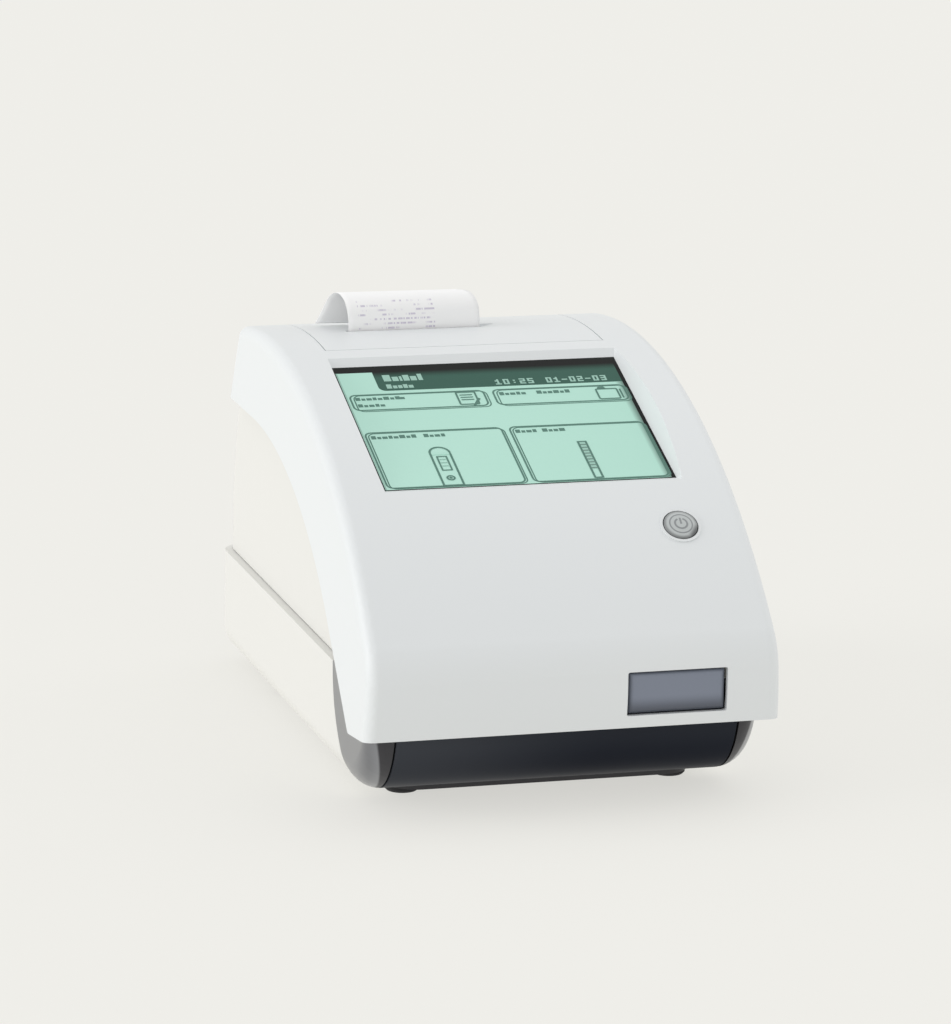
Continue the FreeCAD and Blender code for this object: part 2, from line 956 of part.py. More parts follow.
def roll_cradle():
    """Half-round bin with end plates, slotted from above for the spindle."""
    inner = roll_radius + cradle_gap
    outer = inner + cradle_wall
    half = cradle_half + cradle_wall
    place = Vector(paper_x - half, roll_y, roll_z)
    floor_z = deck_z
    bin_body = rod(outer, 2 * half, place, X_AXIS)
    foot = box(
        paper_x - half, paper_x + half, roll_y - outer / 2, roll_y + outer / 2, floor_z, roll_z
    )
    bin_body = bin_body.fuse(foot)
    top = roll_z + cradle_lip
    front = frame_front_y + frame_depth + fit_gap
    bin_body = bin_body.common(box(-width, width, front, 2 * depth, floor_z, top))
    hollow = Vector(paper_x - cradle_half, roll_y, roll_z)
    bin_body = bin_body.cut(rod(inner, 2 * cradle_half, hollow, X_AXIS))
    mouth = box(
        paper_x - cradle_half, paper_x + cradle_half, roll_y - inner, roll_y + inner, roll_z,
        top + overrun
    )
    bin_body = bin_body.cut(mouth)
    saddle = spindle_end_radius + running_gap
    bin_body = bin_body.cut(rod(saddle, 2 * half, place, X_AXIS))
    slit = box(paper_x - half, paper_x + half, roll_y - saddle, roll_y + saddle, roll_z, top + overrun)
    return bin_body.cut(slit).removeSplitter()


# Toothed wheels and rack


def involute(base_radius, radius):
    return math.sqrt((radius / base_radius) ** 2 - 1) - math.acos(base_radius / radius)


flank_steps = 4


def toothed_wheel(module, teeth, thick, slack):
    """A spur wheel on Z whose first tooth points along X."""
    pitch = module * teeth / 2
    base = pitch * math.cos(math.radians(pressure_angle))
    tip = pitch + module * gear_addendum_share
    root = pitch - module * gear_dedendum_share
    half_tooth = math.pi / (2 * teeth) - slack / pitch
    spread = half_tooth + involute(base, pitch)
    low = max(base, root)
    flank = []
    for step in range(flank_steps + 1):
        radius = low + (tip - low) * step / flank_steps
        flank.append((radius, spread - involute(base, radius)))
    if root < base:
        flank.insert(0, (root, spread))
    points = []
    for tooth in range(teeth):
        middle = 2 * math.pi * tooth / teeth
        sides = [(r, middle - a) for r, a in flank] + [(r, middle + a) for r, a in reversed(flank)]
        points += [Vector(r * math.cos(a), r * math.sin(a), 0) for r, a in sides]
    face = Part.Face(Part.makePolygon(points + points[:1]))
    return face.extrude(Vector(0, 0, thick))


def turned_to_x(shape):
    shape.rotate(Vector(), Y_AXIS, 90)
    return shape


platen_y = depth - platen_setback
frame_half = paper_width / 2 + frame_plate_gap
frame_front_y = platen_y - (frame_depth + platen_radius) / 2
feed_distance = feed_module * (platen_teeth + feed_teeth) / 2
feed_y = platen_y + feed_distance * math.cos(math.radians(feed_angle))
feed_z = platen_z + feed_distance * math.sin(math.radians(feed_angle))
gear_x = paper_x - frame_half - frame_plate - feed_gear_gap - feed_gear_width
motor_face_x = gear_x - feed_gear_gap - frame_plate


def printer_frame():
    """Two side plates joined by a floor and a rear bar, with bearing holes."""
    low_z = deck_z
    top_z = platen_z + platen_radius
    front = frame_front_y
    sides = []
    for x in (paper_x - frame_half - frame_plate, paper_x + frame_half):
        plate = box(x, x + frame_plate, front, front + frame_depth, low_z, top_z)
        sides.append(plate)
    sides.append(box(
        motor_face_x, motor_face_x + frame_plate, front, front + frame_depth, low_z,
        feed_z + feed_motor_radius
    ))
    foot = box(
        motor_face_x, paper_x + frame_half, front, front + frame_foot_depth, low_z, low_z + frame_bar
    )
    post = box(
        paper_x - frame_half, paper_x + frame_half, front, front + frame_bar, low_z,
        platen_z - print_head_height
    )
    frame = sides[0].multiFuse([sides[1], sides[2], foot, post])
    across_start = paper_x - frame_half - 2 * frame_plate
    reach = 2 * frame_half + 4 * frame_plate
    place = Vector(across_start, platen_y, platen_z)
    frame = frame.cut(rod(platen_shaft_radius + running_gap, reach, place, X_AXIS))
    reach = paper_x - frame_half - motor_face_x
    frame = frame.cut(rod(
        feed_shaft_radius + running_gap, reach, Vector(motor_face_x, feed_y, feed_z), X_AXIS
    ))
    return frame.removeSplitter()


def platen_roller():
    half = paper_width / 2
    roller = rod(platen_radius, 2 * half, Vector(paper_x - half, platen_y, platen_z), X_AXIS)
    shaft_start = gear_x
    shaft_end = paper_x + frame_half + frame_plate + feed_gear_gap
    shaft = rod(
        platen_shaft_radius, shaft_end - shaft_start, Vector(shaft_start, platen_y, platen_z),
        X_AXIS
    )
    return roller.fuse(shaft).removeSplitter()


def platen_gear():
    wheel = toothed_wheel(feed_module, platen_teeth, feed_gear_width, tooth_slack)
    wheel = wheel.cut(rod(platen_shaft_radius, feed_gear_width, Vector(), Z_AXIS))
    wheel.rotate(Vector(), Z_AXIS, gear_turn(feed_angle, 0, platen_teeth))
    wheel = turned_to_x(wheel)
    wheel.translate(Vector(gear_x, platen_y, platen_z))
    return wheel


def gear_turn(line_angle, half_pitch, teeth):
    """Turn about the wheel's own axis that puts a tooth on the line of centres.

    Laid down along X, a direction at angle a about Z in the drawing ends at a
    minus a right angle in the side view, so that turn is added back.
    """
    return line_angle + 90 + half_pitch * 180 / teeth


def feed_pinion():
    wheel = toothed_wheel(feed_module, feed_teeth, feed_gear_width, tooth_slack)
    wheel.rotate(Vector(), Z_AXIS, gear_turn(feed_angle + 180, 1, feed_teeth))
    wheel = turned_to_x(wheel)
    wheel.translate(Vector(gear_x, feed_y, feed_z))
    start = motor_face_x - feed_shaft_reach
    length = paper_x - frame_half - frame_plate / 2 - start
    shaft = rod(feed_shaft_radius, length, Vector(start, feed_y, feed_z), X_AXIS)
    return wheel.fuse(shaft).removeSplitter()


def feed_motor():
    start = Vector(motor_face_x - feed_motor_length, feed_y, feed_z)
    well_start = Vector(motor_face_x - feed_shaft_reach - fit_gap, feed_y, feed_z)
    can = rod(feed_motor_radius, feed_motor_length, start, X_AXIS)
    return can.cut(rod(feed_shaft_radius + running_gap, overrun, well_start, X_AXIS))


def print_head():
    """Thermal head: a bar against the platen, with cooling fins on its front."""
    back = platen_y - platen_radius - paper_path_gap
    front = back - print_head_thick
    half = frame_half
    low = platen_z - print_head_height / 2
    high = platen_z + print_head_height / 2 - platen_radius / 2
    bar = box(paper_x - half, paper_x + half, front, back, low, high)
    fins = []
    count = int((high - low) // head_fin_pitch)
    for step in range(count):
        z = low + head_fin_pitch * step
        fins.append(box(
            paper_x - half, paper_x + half, front - head_fin_depth, front, z, z + head_fin_thick
        ))
    return bar.multiFuse(fins).removeSplitter()


# Upper body


def body_block(inset):
    bottom = body_bottom if inset == 0 else body_bottom - overrun
    front = body_front_y + (body_front_wall if inset else 0)
    rear = depth - inset
    top_y = depth - body_rear_top_setback - inset
    mid = at(depth - body_rear_mid_setback - inset, body_rear_mid_z)
    roof = cover_wall + cover_gap + inset
    on_arch = at(front, arch_z(front, roof))
    top = at(top_y, arch_z(top_y, roof))
    low = at(rear, body_rear_low_z)
    edges = [
        line(at(front, bottom), on_arch),
        arc(on_arch, top, arch_centre),
        Part.Arc(top, mid, low).toShape(),
        line(low, at(rear, bottom)),
        line(at(rear, bottom), at(front, bottom)),
    ]
    block = across(face_of(edges), body_half_width - inset)
    radius = body_corner_radius - inset

    def rear_corner(edge):
        point = middle_of(edge)
        upright = point.y > depth - body_rear_top_setback - inset + pick
        beside = abs(abs(point.x) - (body_half_width - inset)) < pick
        return upright and beside and point.z > bottom + pick

    return fillet(block, radius, rear_corner)


def body_bosses():
    bosses = []
    for x in (-boss_x, boss_x):
        for y in (boss_front_y, depth - boss_rear_setback):
            boss = rod(boss_radius, boss_height, Vector(x, y, body_bottom), Z_AXIS)
            wall_x = math.copysign(body_half_width - body_wall / 2, x)
            web = box(
                min(x, wall_x), max(x, wall_x), y - boss_web / 2, y + boss_web / 2,
                body_bottom, body_bottom + boss_height,
            )
            bosses.append(boss.fuse(web))
    return bosses


def body_shell():
    outer = body_block(0)
    shell = outer.cut(body_block(body_wall))
    deck_start = depth - deck_length
    deck = box(
        -body_half_width, body_half_width, deck_start, depth, deck_z - deck_thick, deck_z
    ).common(outer)
    shell = shell.fuse(deck)
    well = rod(hinge_well_radius + body_wall, width, Vector(-width / 2, hinge_y, hinge_z), X_AXIS)
    half = lid_half_width + lid_gap + body_wall
    well = well.common(box(-half, half, hinge_y - hinge_well_start, depth, 0, height)).common(outer)
    shell = shell.fuse(well)
    # Clear the lid's swing, the printer bay, the screen and the sample table
    reach = lid_half_width + lid_gap
    swing = rod(hinge_well_radius, 2 * reach, Vector(-reach, hinge_y, hinge_z), X_AXIS)
    over = box(
        -reach, reach, hinge_y - hinge_well_radius, hinge_y + 2 * hinge_well_radius, hinge_z,
        height
    )
    swing = swing.fuse(over)
    bay_half = lid_half_width - lid_ledge
    bay = box(
        -bay_half, bay_half, lid_front_y + lid_ledge, hinge_y - hinge_well_start, deck_z, height
    )
    shell = shell.cut(bay).cut(swing)
    lugs = [lug.common(outer.fuse(swing)) for lug in hinge_lugs()]
    shell = shell.multiFuse(lugs)
    pin_hole = rod(hinge_pin_radius, width, Vector(-width / 2, hinge_y, hinge_z), X_AXIS)
    shell = shell.cut(pin_hole)
    room_y = bracket_length / 2 + overrun
    room = slab(bracket_width / 2 + fit_gap, room_y, bracket_z - 2 * overrun, 4 * overrun)
    shell = shell.cut(on_screen(room))
    radius = math.hypot(key_board_width, key_board_length) / 2 + fit_gap
    key_room = rod(radius, 4 * overrun, Vector(0, 0, key_board_z - key_board_thick - overrun), Z_AXIS)
    shell = shell.cut(on_button(key_room))
    shell = shell.cut(mouth_box(-fit_gap, 0, body_front_y + 2 * body_front_wall))
    shell = shell.multiFuse(body_bosses())
    for x in (-boss_x, boss_x):
        for y in (boss_front_y, depth - boss_rear_setback):
            shell = shell.cut(rod(
                boss_bore, boss_height - body_wall, Vector(x, y, body_bottom), Z_AXIS
            ))
    return shell.removeSplitter()


# Base


def hull_block(inset, floor_inset):
    """The base as a block: a quarter round at the front, a small one behind."""
    bottom = hull_bottom + floor_inset
    front = body_front_y + inset
    rear = depth - inset
    front_radius = hull_radius - inset
    rear_radius = hull_rear_radius - inset
    top = base_top + (overrun if inset else 0)
    nose = at(front + front_radius, hull_bottom + hull_radius)
    tail = at(rear - rear_radius, hull_bottom + hull_rear_radius)
    edges = [
        line(at(nose.y, nose.z - front_radius), at(tail.y, tail.z - rear_radius)),
        arc(at(tail.y, tail.z - rear_radius), at(rear, tail.z), tail),
        line(at(rear, tail.z), at(rear, top)),
        line(at(rear, top), at(front, top)),
        line(at(front, top), at(front, nose.z)),
        arc(at(front, nose.z), at(nose.y, nose.z - front_radius), nose),
    ]
    block = across(face_of(edges), base_half_width - inset)

    def side_edge(edge):
        point = middle_of(edge)
        beside = abs(abs(point.x) - (base_half_width - inset)) < pick
        return beside and point.z < base_top - pick

    block = fillet(block, body_corner_radius - inset, side_edge)
    if floor_inset > inset:
        block = block.common(box(-width, width, 0, 2 * depth, bottom, top + overrun))
    return block


def cheek_bounds(setback):
    """The front part of the base that the keel covers, ended by an arc in side view."""
    low = at(body_front_y + cheek_low_reach - setback, hull_bottom + cheek_low_rise)
    high = at(body_front_y + cheek_reach - setback, base_top)
    mid = at(
        low.y + (high.y - low.y) * cheek_run_share, low.z + (high.z - low.z) * cheek_rise_share
    )
    over = at(high.y, base_top + overrun)
    edges = [
        line(at(0, 0), at(low.y, 0)),
        line(at(low.y, 0), low),
        Part.Arc(low, mid, high).toShape(),
        line(high, over),
        line(over, at(0, over.z)),
        line(at(0, over.z), at(0, 0)),
    ]
    return across(face_of(edges), width)


def trim_bounds():
    return box(
        -trim_half_width, trim_half_width, 0, body_front_y + trim_reach, 0, base_top + overrun
    )


def keel_slab(top):
    half = foot_x + keel_side
    end = depth - foot_rear_setback + keel_reach
    slab = box(-half, half, foot_front_y - keel_reach, end, foot_height, top)
    return fillet(slab, keel_radius, lambda edge: runs_along(edge, Z_AXIS))


def base_keel(outer):
    """Dark moulding: a skin round the front corners and a plate between the feet."""
    skin = outer.cut(hull_block(keel_skin - fit_gap / 2, 0))
    skin = skin.common(cheek_bounds(keel_gap)).cut(trim_bounds())
    root = keel_slab(hull_bottom + keel_skin / 2).common(box(
        -width, width, 0, body_front_y + cheek_low_reach - keel_gap, 0, base_top
    ))
    keel = skin.fuse(root).fuse(keel_slab(hull_bottom))
    for x, y in base_columns():
        keel = keel.cut(rod(screw_well_radius, base_top, Vector(x, y, 0), Z_AXIS))
    return keel.removeSplitter()


def base_columns():
    return [(x, y) for x in (-boss_x, boss_x) for y in (boss_front_y, depth - boss_rear_setback)]


door_low = battery_z
door_high = battery_z + battery_wall * 2 + cell_rows * (2 * cell_radius + cell_gap)
door_half = battery_wall + cell_columns * (cell_radius + cell_gap / 2) + door_rim
board_z = hull_bottom + base_floor + board_lift


def sockets_cut(gap):
    """Holes in the rear wall for the power inlet and the serial socket."""
    top = board_z + board_thick
    start = depth - base_wall - overrun
    power = box(
        power_x - power_body / 2 - gap, power_x + power_body / 2 + gap, start, depth + overrun,
        top - gap, top + power_height + gap,
    )
    serial = box(
        serial_x - serial_width / 2 - gap, serial_x + serial_width / 2 + gap, start, depth + overrun,
        top - gap, top + serial_height + gap,
    )
    return power.fuse(serial)


def base_pan(outer):
    pan = outer.cut(hull_block(base_wall, base_floor))
    inner_face = hull_block(trim_thick + base_wall, base_floor)
    backing = hull_block(trim_thick, 0).cut(inner_face)
    backing = backing.common(box(
        -trim_half_width - base_wall, trim_half_width + base_wall, 0, body_front_y + hull_radius,
        0, base_top
    ))
    pan = pan.fuse(backing.common(outer))
    pan = pan.cut(outer.cut(hull_block(trim_thick, 0)).common(trim_bounds()))
    floor_z = hull_bottom + base_floor
    ledge_half = body_half_width - body_wall
    ledge = box(-width, width, 0, 2 * depth, base_top - base_wall, base_top).common(outer)
    pan = pan.fuse(ledge.cut(box(-ledge_half, ledge_half, 0, 2 * depth, 0, height)))
    for x, y in base_columns():
        column = rod(column_radius, base_top - hull_bottom, Vector(x, y, hull_bottom), Z_AXIS)
        pan = pan.fuse(column.common(outer))
    pan = pan.cut(outer.cut(hull_block(keel_skin, 0)).common(cheek_bounds(0)))
    for x, y in base_columns():
        pan = pan.cut(rod(screw_well_radius, base_top - column_cap, Vector(x, y, 0), Z_AXIS))
        pan = pan.cut(rod(screw_radius + running_gap, base_top, Vector(x, y, overrun), Z_AXIS))
    risers = []
    for x, y in guide_posts():
        foot = Vector(x, y, floor_z)
        risers.append(rod(guide_post_radius, guide_bottom - floor_z, foot, Z_AXIS))
    for x, y in board_corners():
        risers.append(rod(standoff_radius, board_lift, Vector(x, y, floor_z), Z_AXIS))
    pan = pan.multiFuse(risers)
    half = mouth_width / 2 + guide_wall
    table_way = box(
        table_x - half, table_x + half, 0, guide_start, mouth_z - mouth_height / 2 - fit_gap,
        base_top + overrun
    )
    pan = pan.cut(table_way)
    pan = pan.cut(sockets_cut(socket_gap))
    pan = pan.cut(battery_opening(0)).multiFuse(door_pin_lugs())
    return pan.cut(battery_door_pin()).removeSplitter()


def battery_opening(shrink):
    half = door_half - shrink
    return box(
        cell_x - half, cell_x + half, depth - base_wall - overrun, depth + overrun,
        door_low + shrink, door_high - shrink,
    )


def base_front_trim(outer):
    """Curved panel let into the front of the base."""
    half = trim_half_width - trim_gap
    band = outer.cut(hull_block(trim_thick - fit_gap / 2, 0))
    end_y = body_front_y + trim_reach - trim_gap
    half_way = mouth_width / 2 + guide_wall
    table_way = box(
        table_x - half_way, table_x + half_way, 0, guide_start,
        mouth_z - mouth_height / 2 - fit_gap, base_top + overrun,
    )
    return band.common(box(-half, half, 0, end_y, 0, trim_top)).cut(table_way)


def rubber_feet():
    feet = []
    for x in (-foot_x, foot_x):
        for y in (foot_front_y, depth - foot_rear_setback):
            foot = rod(foot_radius, foot_height, Vector(x, y, 0), Z_AXIS)
            foot = foot.makeChamfer(foot_chamfer, [e for e in foot.Edges if e.CenterOfMass.z < hair])
            feet.append(foot)
    return Part.makeCompound(feet)


def base_screws():
    screws = []
    for x, y in base_columns():
        head_z = base_top - column_cap
        head = rod(screw_head_radius, screw_head, Vector(x, y, head_z - screw_head), Z_AXIS)
        shank = rod(screw_radius, column_cap + screw_reach, Vector(x, y, head_z), Z_AXIS)
        screws.append(head.fuse(shank))
    return Part.makeCompound(screws)


# Sample table

table_low_x = table_x - table_half_width
table_high_x = table_x + table_half_width
face_front_y = front_y(mouth_z) + face_recess
table_front_y = face_front_y + face_thick
table_top = table_bottom + table_height
rack_pitch_x = table_low_x + table_module * gear_addendum_share
rack_back_x = rack_pitch_x + table_module * gear_dedendum_share + rack_back
pinion_x = rack_pitch_x - table_module * pinion_teeth / 2
rack_z = table_bottom + rack_rise
tray_low_x = rack_back_x + table_wall
tray_high_x = table_high_x - table_wall


def table_face():
    plate = mouth_box(mouth_gap, face_front_y, table_front_y)
    low_z = mouth_z - mouth_height / 2 + mouth_gap

    def lower_front(edge):
        point = middle_of(edge)
        low = abs(point.z - low_z) < pick and abs(point.y - face_front_y) < pick
        return low and runs_along(edge, X_AXIS)

    return fillet(plate, face_edge_radius, lower_front)


def test_table():
    end_y = table_front_y + table_length
    tray = box(table_low_x, table_high_x, table_front_y, end_y, table_bottom, table_top)
    hollow = box(
        tray_low_x, tray_high_x, table_front_y + table_wall, end_y - table_wall,
        table_bottom + table_floor, table_top + overrun,
    )
    rebate = box(
        table_low_x - overrun, rack_back_x, table_front_y + rack_start, end_y,
        rack_z, rack_z + rack_height,
    )
    bed = box(
        tray_low_x, tray_high_x, table_front_y + bar_start, end_y - table_wall,
        table_bottom + table_floor, table_top - bar_thick,
    )
    return tray.cut(hollow).cut(rebate).fuse(bed).removeSplitter()


def table_rack():
    """Straight rack whose teeth face the pinion, set in the table's left side."""
    tip = rack_pitch_x - table_module * gear_addendum_share
    root = rack_pitch_x + table_module * gear_dedendum_share
    slope = math.tan(math.radians(pressure_angle))
    pitch = math.pi * table_module
    half = pitch / 4 - tooth_slack
    start = table_front_y + rack_start
    end = table_front_y + table_length
    first = math.ceil((start + pitch - pinion_y) / pitch - 1 / 2)
    points = [Vector(rack_back_x, start, 0), Vector(root, start, 0)]
    step = first
    while pinion_y + (step + 1 / 2) * pitch + half + pitch / 4 < end:
        middle = pinion_y + (step + 1 / 2) * pitch
        low_half = half + (root - rack_pitch_x) * slope
        tip_half = half - (rack_pitch_x - tip) * slope
        points += [
            Vector(root, middle - low_half, 0),
            Vector(tip, middle - tip_half, 0),
            Vector(tip, middle + tip_half, 0),
            Vector(root, middle + low_half, 0),
        ]
        step += 1
    points += [Vector(root, end, 0), Vector(rack_back_x, end, 0)]
    face = Part.Face(Part.makePolygon(points + points[:1]))
    bar = face.extrude(Vector(0, 0, rack_height))
    bar.translate(Vector(0, 0, rack_z))
    return bar


def table_pinion():
    wheel = toothed_wheel(table_module, pinion_teeth, pinion_width, tooth_slack)
    hub = rod(pinion_hub, pinion_hub_length, Vector(0, 0, pinion_width), Z_AXIS)
    wheel = wheel.fuse(hub)
    wheel.translate(Vector(pinion_x, pinion_y, rack_z + (rack_height - pinion_width) / 2))
    shaft_start = guide_bottom - motor_boss
    shaft_end = rack_z + (rack_height + pinion_width) / 2 + pinion_hub_length
    shaft = rod(pinion_bore, shaft_end - shaft_start, Vector(pinion_x, pinion_y, shaft_start), Z_AXIS)
    return wheel.fuse(shaft).removeSplitter()


def table_insert():
    """Tray liner: a cassette pocket in front and a strip channel behind it."""
    low_x = tray_low_x + insert_gap
    high_x = tray_high_x - insert_gap
    start = table_front_y + insert_start
    low_z = table_bottom + table_floor
    high_z = low_z + insert_height
    middle = (low_x + high_x) / 2
    block = box(low_x, high_x, start, start + insert_length, low_z, high_z)
    block = fillet(block, table_wall / 2, lambda edge: runs_along(edge, Z_AXIS))
    half = insert_pocket_width / 2
    pocket_start = start + insert_pocket_start
    pocket_end = pocket_start + insert_pocket_length
    hollow = box(
        middle - half, middle + half, pocket_start, pocket_end, low_z + insert_pocket_floor,
        high_z + overrun
    )
    hollow = fillet(hollow, table_wall, lambda edge: runs_along(edge, Z_AXIS))
    block = block.cut(hollow)
    half = strip_channel_width / 2
    channel = box(
        middle - half, middle + half, pocket_end - overrun, start + insert_length - insert_pocket_start,
        high_z - strip_channel_depth, high_z + overrun,
    )
    return block.cut(channel).removeSplitter()


def calibration_bar():
    start = table_front_y + bar_start + bar_margin / 2
    return box(
        tray_low_x + bar_margin, tray_high_x - bar_margin, start, start + bar_length,
        table_top - bar_thick, table_top,
    )


# Guide, motor and reading head

guide_bottom = table_bottom - guide_gap - guide_floor
guide_low_x = table_low_x - guide_gap - guide_wall
guide_high_x = table_high_x + guide_gap + guide_wall
guide_top = guide_bottom + guide_floor + guide_side_height


def guide_posts():
    low = guide_low_x + guide_post_radius
    high = guide_high_x - guide_post_radius
    near = body_front_y + hull_radius + guide_post_radius
    past_motor = pinion_y + ear_plate_reach + guide_post_radius
    far = guide_start + guide_length - guide_post_inset
    return [(high, near), (low, past_motor), (low, far), (high, far)]


def table_guide():
    end = guide_start + guide_length
    channel = box(guide_low_x, guide_high_x, guide_start, end, guide_bottom, guide_top)
    way = box(
        guide_low_x + guide_wall, guide_high_x - guide_wall, guide_start - overrun, end + overrun,
        guide_bottom + guide_floor, guide_top + overrun,
    )
    channel = channel.cut(way)
    ear = box(
        pinion_x - ear_plate_half, guide_low_x + guide_wall, pinion_y - ear_plate_reach,
        pinion_y + ear_plate_reach,
        guide_bottom, guide_bottom + guide_floor,
    )
    ear = fillet(
        ear, guide_wall, lambda edge: runs_along(edge, Z_AXIS) and middle_of(edge).x < pinion_x
    )
    channel = channel.fuse(ear)
    tip = table_module * (pinion_teeth / 2 + gear_addendum_share) + fit_gap
    window = rod(
        tip + guide_wall / 2, guide_side_height + overrun,
        Vector(pinion_x, pinion_y, guide_bottom + guide_floor), Z_AXIS
    )
    channel = channel.cut(window)
    shaft_hole = rod(
        motor_boss_radius + fit_gap, 2 * guide_floor,
        Vector(pinion_x, pinion_y, guide_bottom - guide_floor), Z_AXIS
    )
    return channel.cut(shaft_hole).removeSplitter()


def table_motor():
    """Flat-faced stepping motor hung under the ear of the guide."""
    top = guide_bottom
    can = rod(motor_radius, motor_length, Vector(pinion_x, pinion_y, top - motor_length), Z_AXIS)
    boss = rod(motor_boss_radius, motor_boss, Vector(pinion_x, pinion_y, top), Z_AXIS)
    ear = box(
        pinion_x - motor_ear_width / 2, pinion_x + motor_ear_width / 2,
        pinion_y - motor_ear_reach, pinion_y + motor_ear_reach, top - motor_ear_thick, top,
    )
    ear = fillet(ear, motor_ear_width / 2 - hair, lambda edge: runs_along(edge, Z_AXIS))
    motor = can.fuse(boss).fuse(ear)
    well_start = Vector(pinion_x, pinion_y, top - motor_boss - fit_gap)
    return motor.cut(rod(pinion_bore + running_gap, 2 * overrun, well_start, Z_AXIS)).removeSplitter()


def guide_screws():
    screws = []
    reach = motor_ear_reach - motor_ear_width / 2
    for side in (-1, 1):
        y = pinion_y + side * reach
        top = guide_bottom + guide_floor
        screws.append(rod(small_screw_head_radius, small_screw_head, Vector(pinion_x, y, top), Z_AXIS))
    return Part.makeCompound(screws)


def optics_housing():
    """Hood over the table, open below, that holds the reading optics."""
    end = head_start + head_length
    block = box(guide_low_x, guide_high_x, head_start, end, guide_top, guide_top + head_height)
    way = box(
        guide_low_x + guide_wall, guide_high_x - guide_wall, head_start - overrun, end + overrun,
        guide_top - overrun, guide_top + head_lift,
    )
    chamber = box(
        guide_low_x + head_wall, guide_high_x - head_wall, head_start + head_wall, end - head_wall,
        guide_top + head_lift + head_wall, guide_top + head_height + overrun,
    )
    middle_y = head_start + head_length / 2
    hole = box(
        table_x - head_window_width / 2, table_x + head_window_width / 2,
        middle_y - head_window_length / 2, middle_y + head_window_length / 2,
        guide_top, guide_top + head_height,
    )
    return block.cut(way).cut(chamber).cut(hole).removeSplitter()


def optics_window():
    middle_y = head_start + head_length / 2
    low = guide_top + head_lift + head_wall
    rim = head_wall
    return box(
        table_x - head_window_width / 2 - rim, table_x + head_window_width / 2 + rim,
        middle_y - head_window_length / 2 - rim, middle_y + head_window_length / 2 + rim,
        low, low + head_window_thick,
    )


def optics_board():
    low = guide_top + head_height
    end = head_start + head_length
    board = box(guide_low_x, guide_high_x, head_start, end, low, low + head_board_thick)
    half = chip_side / 2
    middle_y = head_start + head_length / 2
    chip = box(table_x - half, table_x + half, middle_y - half, middle_y + half,
               low + head_board_thick, low + head_board_thick + chip_height)
    return board.fuse(chip)


# Circuit board and sockets

board_rear_y = depth - base_wall - board_rear_gap
board_right = pinion_x - ear_plate_half - board_motor_gap


def board_corners():
    inset = standoff_inset
    return [(x, y) for x in (board_left + inset, board_right - inset)
            for y in (board_front_y + inset, board_rear_y - inset - power_length)]


def main_board():
    board = box(board_left, board_right, board_front_y, board_rear_y, board_z, board_z + board_thick)
    half = chip_side / 2
    chip_x = board_left + chip_inset
    chip = box(chip_x - half, chip_x + half, chip_y - half, chip_y + half,
               board_z + board_thick, board_z + board_thick + chip_height)
    return board.fuse(chip)


def power_inlet():
    top = board_z + board_thick
    start = depth - socket_inset - power_length
    body = box(
        power_x - power_body / 2, power_x + power_body / 2, start, depth - base_wall / 2, top,
        top + power_height
    )
    centre_z = top + power_height / 2
    nose = rod(power_radius, power_length, Vector(power_x, start, centre_z), Y_AXIS)
    inlet = body.fuse(nose)
    bore_start = Vector(power_x, start + base_wall, centre_z)
    inlet = inlet.cut(rod(power_bore, power_length, bore_start, Y_AXIS))
    pin = rod(power_pin_radius, power_length - base_wall, Vector(power_x, start, centre_z), Y_AXIS)
    return inlet.fuse(pin).removeSplitter()


def d_outline(half_width, half_height, draft, y):
    corners = [
        Vector(-half_width, y, half_height),
        Vector(half_width, y, half_height),
        Vector(half_width - draft, y, -half_height),
        Vector(-half_width + draft, y, -half_height),
    ]
    return Part.Face(Part.makePolygon(corners + corners[:1]))


def serial_port():
    """Nine-way socket: flange, shell and two hexagonal nuts, on the board's edge."""
    top = board_z + board_thick
    back = depth - serial_inset
    body = box(
        serial_x - serial_width / 2, serial_x + serial_width / 2, back - serial_length, back, top,
        top + serial_height
    )
    centre = Vector(serial_x, 0, top + serial_height / 2)
    half_w = serial_shell_width / 2
    half_h = serial_shell_height / 2
    shell = d_outline(half_w, half_h, serial_draft, back).extrude(Vector(0, serial_shell_proud, 0))
    wall = serial_shell_wall
    hollow = d_outline(half_w - wall, half_h - wall, serial_draft, back + wall)
    shell = shell.cut(hollow.extrude(Vector(0, serial_shell_proud, 0)))
    shell.translate(centre)
    port = body.fuse(shell)
    for side in (-1, 1):
        nut = Part.makePolygon([
            Vector(
                serial_nut_radius * math.cos(math.radians(60 * k)), 0,
                serial_nut_radius * math.sin(math.radians(60 * k))
            )
            for k in range(7)
        ])
        nut = Part.Face(nut).extrude(Vector(0, serial_shell_proud, 0))
        nut.translate(centre.add(Vector(side * serial_nut_x, back, 0)))
        port = port.fuse(nut)
    return port.removeSplitter()


# Batteries


def cell_places():
    places = []
    for column in range(cell_columns):
        for row in range(cell_rows):
            step = 2 * cell_radius + cell_gap
            x = cell_x + (column - (cell_columns - 1) / 2) * step
            z = battery_z + battery_wall + cell_gap / 2 + cell_radius + row * step
            places.append((x, z, (column + row) % 2))
    return places



def batteries():
    cells = []
    for x, z, turned in cell_places():
        start = battery_start + battery_wall + contact_room
        can = rod(
            cell_radius, cell_length - cell_tip,
            Vector(x, start + (cell_tip if turned else 0), z), Y_AXIS
        )
        tip_y = start if turned else start + cell_length - cell_tip
        cells.append(can.fuse(rod(cell_tip_radius, cell_tip, Vector(x, tip_y, z), Y_AXIS)))
    return Part.makeCompound(cells)


